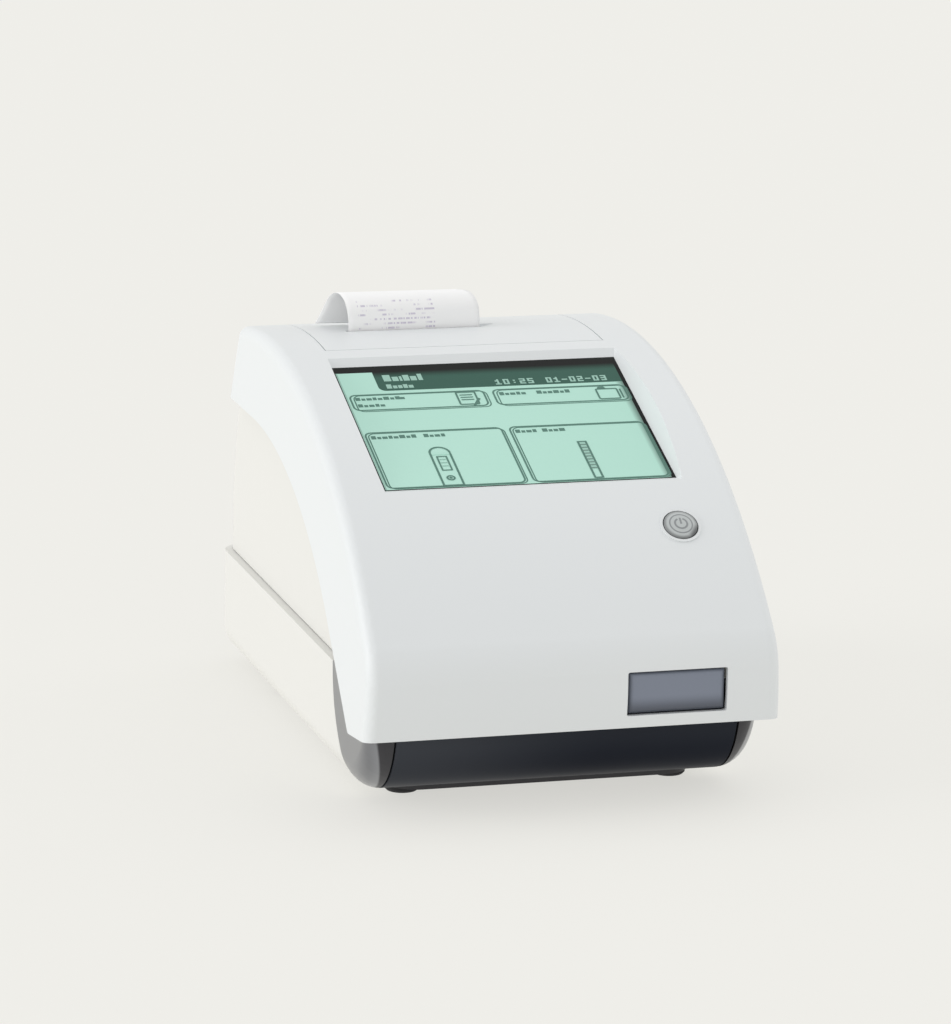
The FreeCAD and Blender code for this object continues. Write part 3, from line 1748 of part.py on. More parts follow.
def battery_box():
    half = door_half - door_rim
    box_low = door_low
    box_high = door_high
    end = depth - 2 * door_hinge_radius - door_gap
    outer = box(cell_x - half, cell_x + half, battery_start, end, box_low, box_high)
    inner = box(
        cell_x - half + battery_wall, cell_x + half - battery_wall, battery_start + battery_wall,
        end + overrun,
        box_low + battery_wall, box_high - battery_wall,
    )
    holder = outer.cut(inner)
    leg_low = hull_bottom + base_floor
    for x in (cell_x - half / 2, cell_x + half / 2):
        for y in (battery_start + boss_radius, end - hull_rear_radius - boss_radius):
            holder = holder.fuse(rod(boss_radius, box_low - leg_low, Vector(x, y, leg_low), Z_AXIS))
    return holder.removeSplitter()


def battery_contacts():
    clips = []
    for x, z, _ in cell_places():
        start = battery_start + battery_wall
        clips.append(rod(contact_radius, contact_wire, Vector(x, start, z), Y_AXIS))
        length = contact_room - contact_wire - cell_gap / 2
        place = Vector(x, start + contact_wire, z)
        boss = Part.makeCone(contact_radius - contact_wire, cell_tip_radius, length, place, Y_AXIS)
        clips[-1] = clips[-1].fuse(boss)
    return Part.makeCompound(clips)


door_hinge_z = door_low + door_hinge_radius
door_hinge_y = depth - door_hinge_radius


def battery_door():
    """Door flush with the rear wall, hinged along its lower edge."""
    half = door_half - door_gap
    slab_low = door_hinge_z + door_hinge_radius + door_gap
    plate = box(
        cell_x - half, cell_x + half, depth - base_wall, depth, door_hinge_z, door_high - door_gap
    )
    clear = box(
        cell_x - half - overrun, cell_x + half + overrun, depth - 2 * base_wall, depth + overrun,
        door_hinge_z - overrun, slab_low,
    )
    door = plate.cut(clear)
    for side in (-1, 1):
        x = cell_x + side * door_knuckle_x - door_knuckle / 2
        knuckle = rod(door_hinge_radius, door_knuckle, Vector(x, door_hinge_y, door_hinge_z), X_AXIS)
        strap = box(x, x + door_knuckle, door_hinge_y, depth, door_hinge_z, slab_low + door_gap)
        door = door.fuse(knuckle).fuse(strap)
    door = door.cut(rod(
        door_pin_radius + running_gap, width, Vector(0, door_hinge_y, door_hinge_z), X_AXIS
    ))
    finger = box(
        cell_x - door_finger_width / 2, cell_x + door_finger_width / 2, depth - door_finger_depth,
        depth + overrun,
        door_high - door_gap - door_finger_height - door_rim, door_high - door_gap - door_rim,
    )
    return door.cut(finger).removeSplitter()


def door_pin_lugs():
    """Blocks beside the door opening that hold the ends of its pin."""
    lugs = []
    for edge in (cell_x - door_half - door_lug, cell_x + door_half):
        lugs.append(box(
            edge, edge + door_lug, door_hinge_y - door_hinge_radius, depth - base_wall / 2,
            door_hinge_z - door_hinge_radius, door_hinge_z + door_hinge_radius,
        ))
    return lugs


def battery_door_pin():
    reach = door_half + door_lug - fit_gap
    return rod(door_pin_radius, 2 * reach, Vector(cell_x - reach, door_hinge_y, door_hinge_z), X_AXIS)


def write(name, shape):
    placed = shape.copy()
    placed.translate(Vector(0, -depth / 2, 0))
    placed.exportStep("parts/" + name + ".step")


def main():
    os.makedirs("parts", exist_ok=True)
    blank = cover_blank()
    hull = hull_block(0, 0)
    pieces = {
        "top_cover": top_cover(blank),
        "printer_cover": printer_cover(blank),
        "cover_hinge_pins": cover_hinge_pins(),
        "paper_strip": paper_strip(),
        "paper_roll": paper_roll(),
        "roll_spindle": roll_spindle(),
        "roll_cradle": roll_cradle(),
        "printer_frame": printer_frame(),
        "platen_roller": platen_roller(),
        "platen_gear": platen_gear(),
        "feed_pinion": feed_pinion(),
        "feed_motor": feed_motor(),
        "print_head": print_head(),
        "touch_panel": touch_panel(),
        "lcd_module": lcd_module(),
        "display_bracket": display_bracket(),
        "display_screws": display_screws(),
        "power_button": power_button(),
        "key_board": key_board(),
        "body_shell": body_shell(),
        "base_pan": base_pan(hull),
        "base_front_trim": base_front_trim(hull),
        "base_keel": base_keel(hull),
        "rubber_feet": rubber_feet(),
        "base_screws": base_screws(),
        "test_table": test_table(),
        "table_face": table_face(),
        "table_rack": table_rack(),
        "table_pinion": table_pinion(),
        "table_insert": table_insert(),
        "calibration_bar": calibration_bar(),
        "table_guide": table_guide(),
        "table_motor": table_motor(),
        "guide_screws": guide_screws(),
        "optics_housing": optics_housing(),
        "optics_window": optics_window(),
        "optics_board": optics_board(),
        "main_board": main_board(),
        "power_inlet": power_inlet(),
        "serial_port": serial_port(),
        "battery_box": battery_box(),
        "batteries": batteries(),
        "battery_contacts": battery_contacts(),
        "battery_door": battery_door(),
        "battery_door_pin": battery_door_pin(),
    }
    for name, shape in pieces.items():
        write(name, shape)


main()
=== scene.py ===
import json
import math

import bmesh
import bpy
from bpy.props import FloatProperty, FloatVectorProperty, IntProperty, PointerProperty
from mathutils import Matrix, Vector

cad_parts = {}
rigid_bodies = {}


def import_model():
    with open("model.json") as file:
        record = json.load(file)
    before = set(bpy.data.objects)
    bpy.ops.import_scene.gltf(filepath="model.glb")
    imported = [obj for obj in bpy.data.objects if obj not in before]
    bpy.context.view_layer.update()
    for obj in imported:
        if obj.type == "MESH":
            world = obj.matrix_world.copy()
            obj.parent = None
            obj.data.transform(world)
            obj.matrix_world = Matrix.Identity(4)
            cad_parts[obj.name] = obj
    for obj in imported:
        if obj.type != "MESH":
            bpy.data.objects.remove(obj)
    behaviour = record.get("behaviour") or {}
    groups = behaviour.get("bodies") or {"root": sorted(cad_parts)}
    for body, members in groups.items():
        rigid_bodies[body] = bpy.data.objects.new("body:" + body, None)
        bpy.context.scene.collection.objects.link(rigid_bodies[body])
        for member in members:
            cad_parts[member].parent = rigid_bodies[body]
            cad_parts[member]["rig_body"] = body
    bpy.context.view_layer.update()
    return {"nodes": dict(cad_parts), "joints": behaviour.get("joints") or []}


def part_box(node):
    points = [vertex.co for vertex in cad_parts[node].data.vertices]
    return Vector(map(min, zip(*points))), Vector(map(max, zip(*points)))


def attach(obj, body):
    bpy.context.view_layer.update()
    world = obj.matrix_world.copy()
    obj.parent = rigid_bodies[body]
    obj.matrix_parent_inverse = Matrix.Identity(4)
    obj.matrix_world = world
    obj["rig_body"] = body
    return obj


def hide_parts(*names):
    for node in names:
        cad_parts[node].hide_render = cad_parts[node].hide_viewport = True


bl_info = {
    "name": "Strip reader",
    "version": (1, 0, 0),
    "blender": (4, 5, 0),
    "location": "View3D > Sidebar > Strip reader",
    "description": "Finishes a table-top strip reader: covers, screen, slip, table and base",
    "category": "Object",
}

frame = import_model()
CAD_NODES = frame["nodes"]
MM = 0.001
# Edges that turn by more than these degrees stay crisp, or are rounded
SHARP = 28.0


# Measuring the solids


def reach(node, direction):
    """Lowest and highest place of a solid along a direction, in metres."""
    places = [vertex.co.dot(direction) for vertex in CAD_NODES[node].data.vertices]
    return min(places), max(places)


def tilt_of(node, thickness):
    """Slope of a thin plate about X, from the box round it."""
    low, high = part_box(node)
    size = high - low
    angle = 0.3
    for _ in range(30):
        angle = math.atan2(
            size.z - thickness * math.cos(angle), size.y - thickness * math.sin(angle)
        )
    return angle


def frame_at(origin, angle):
    """Placement whose Z stands off a surface that slopes by this angle about X."""
    return Matrix.Translation(origin) @ Matrix.Rotation(angle, 4, "X")


def screen_frame():
    """Placement of the glass: X across, Y up its slope, Z out of it."""
    angle = tilt_of("touch_panel", 1.8 * MM)
    up = Vector((0, math.cos(angle), math.sin(angle)))
    out = Vector((0, -math.sin(angle), math.cos(angle)))
    low, high = reach("touch_panel", up)
    top = reach("touch_panel", out)[1]
    return frame_at(up * (low + high) / 2 + out * top, angle)


def button_frame():
    """Placement of the power button: Z out of it, at the rim of its cap."""
    joint = next(j for j in frame["joints"] if j["name"] == "power_button_press")
    out = -Vector(joint["axis"]).normalized()
    up = Vector((0, out.z, -out.y))
    low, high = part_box("power_button")
    middle = sum(reach("power_button", up)) / 2
    top = reach("power_button", out)[1]
    origin = Vector(((low.x + high.x) / 2, 0, 0)) + up * middle + out * top
    return frame_at(origin, math.atan2(up.z, up.y))


# Sizes and colours


def colour(name, description, value):
    return FloatVectorProperty(
        name=name, description=description, default=value, subtype="COLOR", min=0, max=1, size=3
    )


def length(name, description, value):
    return FloatProperty(name=name, description=description, default=value, unit="LENGTH", min=0)


def share(name, description, value):
    return FloatProperty(
        name=name, description=description, default=value, subtype="FACTOR", min=0, max=1
    )


def whole(name, description, value):
    return IntProperty(name=name, description=description, default=value, min=1)


def strength(name, description, value):
    return FloatProperty(name=name, description=description, default=value, min=0)


def sizes(name, description, value):
    return FloatVectorProperty(
        name=name, description=description, default=value, unit="LENGTH", min=0, size=3
    )


class ReaderShell(bpy.types.PropertyGroup):
    """Pale covers and the dark keel."""

    cover: colour("Cover", "Satin white of the arched cover", (0.775, 0.80, 0.81))
    housing: colour("Housing", "Pale housing under the cover", (0.765, 0.76, 0.73))
    slate: colour("Keel", "Dark slate of the keel", (0.022, 0.021, 0.026))
    # Painted light: the keel's flanks are painted lighter than its dark front, as if lit, with a
    # painted highlight where they round into it
    lit_flank: colour("Flank", "Grey of the keel's flanks", (0.105, 0.108, 0.12))
    corner_highlight: colour("Flank, corner", "Flanks where they meet the front", (0.19, 0.195, 0.21))
    # Painted light: the front panel is painted darker at its foot and lighter at its top
    panel: colour("Panel, foot", "Front panel between them, at its foot", (0.003, 0.005, 0.012))
    panel_top_lit: colour("Panel, top", "Front panel at its top", (0.060, 0.065, 0.076))
    corner: length("Corner", "How far in from its side the keel turns grey", 3.6 * MM)
    lean: share("Lean", "How much that line leans in towards the foot", 0.2)
    lean_start: length("Lean start", "Height below which it leans in", 32 * MM)
    # Painted shade: the hull is painted near black this far behind its front, so the seams show
    # dark
    seam_shade_depth: length("Dark depth", "Front part of the hull that lies behind the keel", 34 * MM)
    cover_gloss: share("Cover roughness", "Roughness of the cover", 0.42)
    slate_gloss: share("Keel roughness", "Roughness of the keel", 0.38)
    grain: length("Moulded grain", "Size of the fine texture on moulded parts", 0.7 * MM)
    edge: length("Edge round", "Small round on the moulded edges", 0.35 * MM)


class ReaderScreen(bpy.types.PropertyGroup):
    """Glass and picture of the touch screen."""

    ground: colour("Ground", "Mint ground of the display", (0.345, 0.555, 0.475))
    ground_light: colour("Ground, lit", "Mint where the display is brightest", (0.37, 0.58, 0.50))
    header: colour("Header", "Dark green of the header bar", (0.028, 0.082, 0.062))
    line: colour("Line", "Outlines of the tiles", (0.075, 0.16, 0.13))
    # Painted shade: black under the pocket's top lip and in the gaps round the picture
    lip_shadow: colour("Border", "Black border above the picture", (0.001, 0.002, 0.002))
    glow: share("Glow", "How much of the picture is its own light", 0.35)
    half_width: length("Half width", "Half the width of the opening", 61 * MM)
    half_height: length("Half height", "Half the height of the opening", 46.85 * MM)
    radius: length("Tile corner", "Round at the tiles' corners", 3 * MM)
    stroke: length("Stroke", "Width of the outlines", 0.8 * MM)
    pads: whole("Pads", "Pads on the strip's icon", 9)


class ReaderSlip(bpy.types.PropertyGroup):
    """Printed slip and the roll that it comes from."""

    paper: colour("Paper", "Thermal paper", (0.97, 0.97, 0.97))
    ink: colour("Ink", "Faded print", (0.58, 0.53, 0.66))
    rise: length("Rise", "Straight part above the slot", 9.2 * MM)
    curl: length("Curl", "Radius of the curl", 6.9 * MM)
    tail: length("Tail", "Length that hangs behind the curl", 8.5 * MM)
    flare: length("Flare", "How far the tail turns to the left", 9.0 * MM)
    corner: length("Corner", "Round at the right of the crest", 8.0 * MM)


class ReaderTable(bpy.types.PropertyGroup):
    """Sample table, its front plate and insert."""

    # Painted light: the plate is painted slate round its rim and foot, and lighter in its lit
    # middle
    face: colour("Front plate", "Slate of the front plate", (0.075, 0.085, 0.11))
    lit_middle: colour("Plate, middle", "Lighter middle of the plate", (0.205, 0.23, 0.29))
    tray: colour("Tray", "Grey of the tray", (0.30, 0.31, 0.33))
    insert: colour("Insert", "White insert", (0.80, 0.80, 0.77))


class ReaderButton(bpy.types.PropertyGroup):
    """Power button."""

    cap: colour("Cap", "Grey of the cap", (0.50, 0.53, 0.53))
    rim: colour("Rim", "Where the cap turns away from the lamp", (0.12, 0.125, 0.13))
    mark: colour("Mark", "Grey of the ring and bar", (0.26, 0.275, 0.285))
    ring: length("Ring", "Radius of the moulded ring", 4.9 * MM)
    symbol: length("Symbol", "Radius of the circle with the bar", 2.9 * MM)


class ReaderRear(bpy.types.PropertyGroup):
    """Sockets and the battery door."""

    contacts: whole("Contacts", "Contacts in the long row", 5)
    pitch: length("Pitch", "Distance between contacts", 2.77 * MM)
    contact: sizes(
        "Contact", "Radius and length of a contact, along X and Y", (0.5 * MM, 5.4 * MM, 0)
    )
    sunk: length("Sunk", "How far the contacts' middle lies behind the shell's rim", 4.6 * MM)
    rib: sizes("Rib", "Size of a grip rib", (16 * MM, 0.3 * MM, 0.7 * MM))
    rib_pitch: length("Rib pitch", "Distance between the ribs", 2 * MM)
    rib_drop: length("Rib drop", "First rib below the door's top", 12.5 * MM)
    ribs: whole("Ribs", "Grip ribs on the battery door", 5)


class ReaderLight(bpy.types.PropertyGroup):
    """Floor, lamps and backdrop."""

    backdrop: colour("Backdrop", "What the camera sees behind the reader", (0.871, 0.863, 0.823))
    sky: strength("Sky", "Strength of the even light", 0.80)
    left: strength("Left", "Strength of the lamp at the left", 1.13)
    right: strength("Right", "Strength of the lamp behind the right", 0.35)
    floor_shade: share("Floor", "Share of the floor that keeps the shadow", 0.3)


# Node trees


def operator(kind, flipped=False):
    """A method that adds a Math node for one Python operator."""

    def method(self, *others):
        return self.maths(kind, *((*others, self) if flipped else (self, *others)))

    return method


class Wire:
    """A socket in a node tree that is summed and compared like a number."""

    def __init__(self, tree, socket):
        self.tree = tree
        self.socket = socket

    def maths(self, kind, *values):
        node = self.tree.nodes.new("ShaderNodeMath")
        node.operation = kind
        for place, value in enumerate(values):
            feed(self.tree, node.inputs[place], value)
        return Wire(self.tree, node.outputs[0])

    __add__, __radd__ = operator("ADD"), operator("ADD", True)
    __sub__, __rsub__ = operator("SUBTRACT"), operator("SUBTRACT", True)
    __mul__, __rmul__ = operator("MULTIPLY"), operator("MULTIPLY", True)
    __truediv__ = operator("DIVIDE")
    __gt__, __lt__ = operator("GREATER_THAN"), operator("LESS_THAN")
    power, wrapped = operator("POWER"), operator("FLOORED_MODULO")
    least, most = operator("MINIMUM"), operator("MAXIMUM")
    size, root = operator("ABSOLUTE"), operator("SQRT")
    sine, floor = operator("SINE"), operator("FLOOR")

    def between(self, low, high):
        """0 at low, 1 at high, and held outside."""
        node = add_node(
            self.tree, "ShaderNodeMapRange", {"interpolation_type": "SMOOTHSTEP"},
            Value=self, From_Min=low, From_Max=high,
        )
        return Wire(self.tree, node.outputs["Result"])


def feed(tree, socket, value):
    """Link a wire to a socket, or set the socket to a plain value."""
    if isinstance(value, Wire):
        tree.links.new(value.socket, socket)
    else:
        socket.default_value = value


def add_node(tree, kind, settings=None, **values):
    """A node with its settings made first, then the values or links of its sockets."""
    made = tree.nodes.new(kind)
    for name, value in (settings or {}).items():
        setattr(made, name, value)
    for name, value in values.items():
        feed(tree, made.inputs[name.replace("_", " ")], value)
    return made


class Finish:
    """A material with one Principled shader, and a method for its other nodes."""

    def __init__(self, name, base, roughness, metallic=0.0, **constants):
        self.material = bpy.data.materials.new(name)
        self.material.use_nodes = True
        self.tree = self.material.node_tree
        self.shader = self.tree.nodes["Principled BSDF"]
        self.set("Base Color", (*base, 1))
        self.set("Roughness", roughness)
        self.set("Metallic", metallic)
        for socket, value in constants.items():
            self.set(socket.replace("_", " "), value)
        self.material.diffuse_color = (*base, 1)

    def set(self, socket, value):
        feed(self.tree, self.shader.inputs[socket], value)

    def node(self, kind, settings=None, **values):
        return add_node(self.tree, kind, settings, **values)

    def out(self, node, socket):
        return Wire(self.tree, node.outputs[socket])

    def place(self):
        """X, Y and Z of the piece's own Object coordinates, and the vector."""
        vector = self.out(self.node("ShaderNodeTexCoord"), "Object")
        parts = self.node("ShaderNodeSeparateXYZ", Vector=vector)
        return [self.out(parts, axis) for axis in "XYZ"] + [vector]

    def noise(self, vector, scale, detail=2.0):
        node = self.node("ShaderNodeTexNoise", Vector=vector, Scale=scale, Detail=detail)
        return self.out(node, "Fac")

    def blend(self, share_wire, first, second):
        node = self.node("ShaderNodeMix", {"data_type": "RGBA"})
        feed(self.tree, node.inputs["Factor"], share_wire)
        for socket, value in ((node.inputs[6], first), (node.inputs[7], second)):
            feed(self.tree, socket, value if isinstance(value, Wire) else (*value[:3], 1))
        return Wire(self.tree, node.outputs[2])

    def bump(self, height, distance, strength=1.0):
        node = self.node("ShaderNodeBump", Height=height, Distance=distance, Strength=strength)
        self.set("Normal", self.out(node, "Normal"))

    def moulded(self, size, depth=0.00001, spread=0.05):
        """Fine moulded grain, with a roughness that wanders a little."""
        vector = self.place()[3]
        grain = self.noise(vector, 1 / size, 3.0)
        wander = self.noise(vector, 40.0, 2.0)
        rough = self.shader.inputs["Roughness"].default_value
        self.set("Roughness", wander * (2 * spread) + (rough - spread))
        self.bump(grain, depth)
        return self


# Meshes


def as_object(name, mesh, materials, body, slot_name, *nodes):
    """Put a finished mesh into the scene on its body."""
    thing = bpy.data.objects.new(name, mesh)
    bpy.context.scene.collection.objects.link(thing)
    mesh.materials.clear()
    for material in materials:
        mesh.materials.append(material)
    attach(thing, body)
    if nodes:
        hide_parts(*nodes)
    return thing


def merged_copy(node):
    """A solid's skin as one connected mesh with flat faces joined and smooth curves."""
    skin = bmesh.new()
    skin.from_mesh(CAD_NODES[node].data)
    bmesh.ops.remove_doubles(skin, verts=skin.verts, dist=0.5e-6)
    bmesh.ops.dissolve_limit(
        skin, angle_limit=math.radians(0.03), verts=skin.verts, edges=skin.edges
    )
    for face in skin.faces:
        face.smooth = True
    for edge in skin.edges:
        edge.smooth = edge.is_manifold and edge.calc_face_angle(0) < math.radians(SHARP)
    mesh = bpy.data.meshes.new(node + "_skin")
    skin.to_mesh(mesh)
    skin.free()
    for layer in [layer for layer in mesh.attributes if layer.name == "custom_normal"]:
        mesh.attributes.remove(layer)
    return mesh


def finished(node, name, material, slot_name, edge=0.0):
    """A CAD solid shown as a smooth copy of itself, with small rounds on its edges."""
    body = CAD_NODES[node]["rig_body"]
    thing = as_object(name, merged_copy(node), [material], body, slot_name, node)
    if edge:
        bevel = thing.modifiers.new("Edge round", "BEVEL")
        bevel.width = edge
        bevel.segments = 2
        bevel.limit_method = "ANGLE"
        bevel.angle_limit = math.radians(SHARP)
        bevel.use_clamp_overlap = True
        bevel.miter_outer = "MITER_ARC"
    weigh = thing.modifiers.new("Even normals", "WEIGHTED_NORMAL")
    weigh.keep_sharp = True
    weigh.weight = 60
    return thing


def repaint(node, material):
    """A better finish on a solid whose shape stays."""
    slots = CAD_NODES[node].data.materials
    slots.clear()
    slots.append(material)


class Sheet:
    """Flat shapes, stacked in thin layers on a placement, in millimetres."""

    def __init__(self, placement, step=0.02):
        self.mesh = bmesh.new()
        self.paint = self.mesh.loops.layers.float_color.new("paint")
        self.placement = placement
        self.step = step

    def shape(self, points, layer, tint):
        """One flat outline; tint is a colour, or one colour for each point."""
        corners = [
            self.mesh.verts.new(self.placement @ (Vector((x, y, layer * self.step)) * MM))
            for x, y in points
        ]
        face = self.mesh.faces.new(corners)
        tints = tint if isinstance(tint, list) else [tint] * len(points)
        for loop, value in zip(face.loops, tints):
            loop[self.paint] = (*value[:3], 1)
        return face

    def bar(self, x_low, x_high, y_low, y_high, layer, tint):
        points = [(x_low, y_low), (x_high, y_low), (x_high, y_high), (x_low, y_high)]
        return self.shape(points, layer, tint)

    def frame(self, x_low, x_high, y_low, y_high, radius, stroke, layer, tint):
        """An outline only, made of one narrow face for each side of it."""
        outer = rounded_outline(x_low, x_high, y_low, y_high, radius)
        inner = rounded_outline(
            x_low + stroke, x_high - stroke, y_low + stroke, y_high - stroke,
            max(radius - stroke, 0.05),
        )
        count = len(outer)
        for k in range(count):
            n = (k + 1) % count
            self.shape([outer[k], outer[n], inner[n], inner[k]], layer, tint)

    def ring(self, x, y, radius, stroke, layer, tint, start=0.0, turn=360.0, steps=32):
        """A flat ring, or part of one, about a point."""
        for k in range(steps):
            angles = [math.radians(start + turn * (k + s) / steps) for s in (0, 1)]
            points = [(x + radius * math.cos(a), y + radius * math.sin(a)) for a in angles]
            inside = radius - stroke
            points += [
                (x + inside * math.cos(a), y + inside * math.sin(a)) for a in reversed(angles)
            ]
            self.shape(points, layer, tint)

    def disc(self, x, y, radius, layer, tint, steps=20):
        turns = [math.tau * k / steps for k in range(steps)]
        points = [(x + radius * math.cos(a), y + radius * math.sin(a)) for a in turns]
        self.shape(points, layer, tint)

    def done(self, name):
        made = bpy.data.meshes.new(name)
        self.mesh.to_mesh(made)
        self.mesh.free()
        return made


def rounded_outline(x_low, x_high, y_low, y_high, radius, steps=6):
    points = []
    corners = (
        (x_high - radius, y_low + radius, 270),
        (x_high - radius, y_high - radius, 0),
        (x_low + radius, y_high - radius, 90),
        (x_low + radius, y_low + radius, 180),
    )
    for x, y, start in corners:
        for k in range(steps + 1):
            angle = math.radians(start + 90 * k / steps)
            points.append((x + radius * math.cos(angle), y + radius * math.sin(angle)))
    return points


# Numbers for the clock, five cells high and three wide
DIGITS = {
    "0": "111101101101111", "1": "010110010010111", "2": "111001111100111",
    "3": "111001111001111", "5": "111100111001111", ":": "000010000010000",
    "-": "000000111000000",
}


def write_number(sheet, text, x, y, height, wide, layer, tint):
    """Plain display numbers made of small cells."""
    cell = height / 5
    step = wide / len(text)
    across = step * 0.72 / 3
    for place, sign in enumerate(text):
        for n, lit in enumerate(DIGITS[sign]):
            if lit == "0":
                continue
            left = x + place * step + (n % 3) * across
            top = y + height - (n // 3) * cell
            sheet.bar(left, left + across * 1.02, top - cell * 1.02, top, layer, tint)


def toned(first, second, share):
    return tuple(a * (1 - share) + b * share for a, b in zip(first, second))


def grey_rows(sheet, x, y, widths, height, layer, tint):
    """A row of plain blocks, tall and low, where the display has a word."""
    for place, (width, gap) in enumerate(widths):
        tall = (1, 0.68, 0.72, 0.9, 0.68, 1, 0.7)[place % 7]
        sheet.bar(x, x + width, y, y + height * tall, layer, tint)
        x += width + gap


# Repeated pieces by Geometry Nodes


class Grower:
    """A Geometry Nodes tree with named inputs, run once and kept as a plain mesh."""

    def __init__(self, name, inputs):
        self.group = bpy.data.node_groups.new(name, "GeometryNodeTree")
        self.values = {}
        for label, (kind, value) in inputs.items():
            item = self.group.interface.new_socket(label, in_out="INPUT", socket_type=kind)
            self.values[item.identifier] = value
        self.group.interface.new_socket(
            "Geometry", in_out="OUTPUT", socket_type="NodeSocketGeometry"
        )
        self.source = self.group.nodes.new("NodeGroupInput")
        self.sink = self.group.nodes.new("NodeGroupOutput")

    def given(self, label):
        return Wire(self.group, self.source.outputs[label])

    def node(self, kind, settings=None, **values):
        return add_node(self.group, kind, settings, **values)

    def out(self, node, socket=0):
        return Wire(self.group, node.outputs[socket])

    def grown(self, geometry, material, name):
        """Realize, set the material, run the tree, and keep what it made."""
        real = self.node("GeometryNodeRealizeInstances", Geometry=geometry)
        final = self.node("GeometryNodeSetMaterial", Geometry=self.out(real), Material=material)
        self.group.links.new(final.outputs[0], self.sink.inputs[0])
        carrier = bpy.data.objects.new(name, bpy.data.meshes.new(name + "_seed"))
        bpy.context.scene.collection.objects.link(carrier)
        modifier = carrier.modifiers.new("Grow", "NODES")
        modifier.node_group = self.group
        for identifier, value in self.values.items():
            modifier[identifier] = value
        graph = bpy.context.evaluated_depsgraph_get()
        mesh = bpy.data.meshes.new_from_object(carrier.evaluated_get(graph), depsgraph=graph)
        carrier.modifiers.remove(modifier)
        bpy.data.objects.remove(carrier)
        mesh.name = name
        if not mesh.polygons:
            raise RuntimeError("the tree for " + name + " made nothing")
        return mesh


def row_of(name, count, start, step, size, material, pins=False):
    """Like pieces along a straight row: blocks, or pins along Y whose X is their radius."""
    tree = Grower(name, {
        "Count": ("NodeSocketInt", count),
        "Start": ("NodeSocketVector", tuple(start)),
        "Step": ("NodeSocketVector", tuple(step)),
        "Size": ("NodeSocketVector", tuple(size)),
        "Turn": ("NodeSocketVector", (math.pi / 2 if pins else 0, 0, 0)),
    })
    line = tree.node(
        "GeometryNodeMeshLine", {"mode": "OFFSET"}, Count=tree.given("Count"),
        Start_Location=tree.given("Start"), Offset=tree.given("Step"),
    )
    if pins:
        parts = tree.node("ShaderNodeSeparateXYZ", Vector=tree.given("Size"))
        piece = tree.node(
            "GeometryNodeMeshCylinder", Vertices=12, Radius=tree.out(parts, "X"),
            Depth=tree.out(parts, "Y"),
        )
    else:
        piece = tree.node("GeometryNodeMeshCube", Size=tree.given("Size"))
    placed = tree.node(
        "GeometryNodeInstanceOnPoints", Points=tree.out(line), Instance=tree.out(piece),
        Rotation=tree.given("Turn"),
    )
    return tree.grown(tree.out(placed), material, name)


# Finishes shared by the pieces


def shell_finish(context):
    """Finishes of the moulded pieces, made once and then reused by name."""
    look = context.scene.reader_shell
    wanted = {
        "cover_satin": (look.cover, look.cover_gloss, 0.000006),
        "housing_fine": (look.housing, 0.55, 0.000012),
        "hull_fine": (look.housing, 0.55, 0.000012),
        "keel_satin": (look.slate, look.slate_gloss, 0.000008),
        "panel_satin": (look.panel, look.slate_gloss, 0.000008),
        "rubber_matte": ((0.022, 0.022, 0.024), 0.85, 0.00003),
        "plastic_grey": (context.scene.reader_table.tray, 0.5, 0.00001),
        "plastic_black": ((0.012, 0.012, 0.013), 0.45, 0.00001),
    }
    for name, (base, rough, depth) in wanted.items():
        if name not in bpy.data.materials:
            made = Finish(name, tuple(base), rough)
            made.moulded(look.grain, depth)
            if name in SHADED:
                SHADED[name](made, look)
    return bpy.data.materials


def shade_keel(made, look):
    """Painted light on the keel: flanks painted grey as if lit, past a line that leans in towards
    its foot, and a painted highlight where they round off into the front.
    """
    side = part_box("base_keel")[1].x - look.corner
    x, _, z, _ = made.place()
    out = x.size() + (look.lean_start - z).most(0) * look.lean
    past = out.between(side - 0.5 * MM, side + 0.5 * MM)
    highlight_band = out.between(side, side + 4 * MM)
    lit_flanks = made.blend(highlight_band, tuple(look.corner_highlight), tuple(look.lit_flank))
    made.set("Base Color", made.blend(past, tuple(look.slate), lit_flanks))
    made.set("Coat Weight", past * 0.9)
    made.set("Coat Roughness", 0.3)


def shade_panel(made, look):
    """Front panel: painted light, lighter at the top and the left, with a weak shine."""
    low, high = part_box("base_front_trim")
    x, _, z, _ = made.place()
    lit = z.between(low.z, high.z) * 0.6 - x.between(low.x, high.x * 0.3) * 0.5 + 0.5
    made.set("Base Color", made.blend(lit, tuple(look.panel), tuple(look.panel_top_lit)))
    made.set("Specular IOR Level", 0.15)
    made.set("IOR", 1.2)


def shade_hull(made, look):
    """Hull: painted near black where it lies behind the keel and the panel, so that their seams
    show as painted shade.
    """
    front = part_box("base_pan")[0].y + look.seam_shade_depth
    back = made.place()[1].between(front, front + MM)
    made.set("Base Color", made.blend(back, (0.004, 0.004, 0.005), tuple(look.housing)))


SHADED = {"keel_satin": shade_keel, "panel_satin": shade_panel, "hull_fine": shade_hull}


def shell_pieces(context, rows):
    """Moulded pieces with rounded edges: node, name, finish and slot of each."""
    finishes = shell_finish(context)
    for node, name, finish, slot_name in rows:
        finished(node, name, finishes[finish], slot_name, context.scene.reader_shell.edge)


def metal(name, base, rough, stretch):
    """Metal with fine lines along one direction."""
    if name in bpy.data.materials:
        return bpy.data.materials[name]
    made = Finish(name, base, rough, 1.0)
    vector = made.place()[3]
    spread = made.node("ShaderNodeMapping", Vector=vector, Scale=stretch)
    lines = made.noise(made.out(spread, "Vector"), 900.0, 2.0)
    made.set("Roughness", lines * 0.16 + (rough - 0.08))
    return made.material


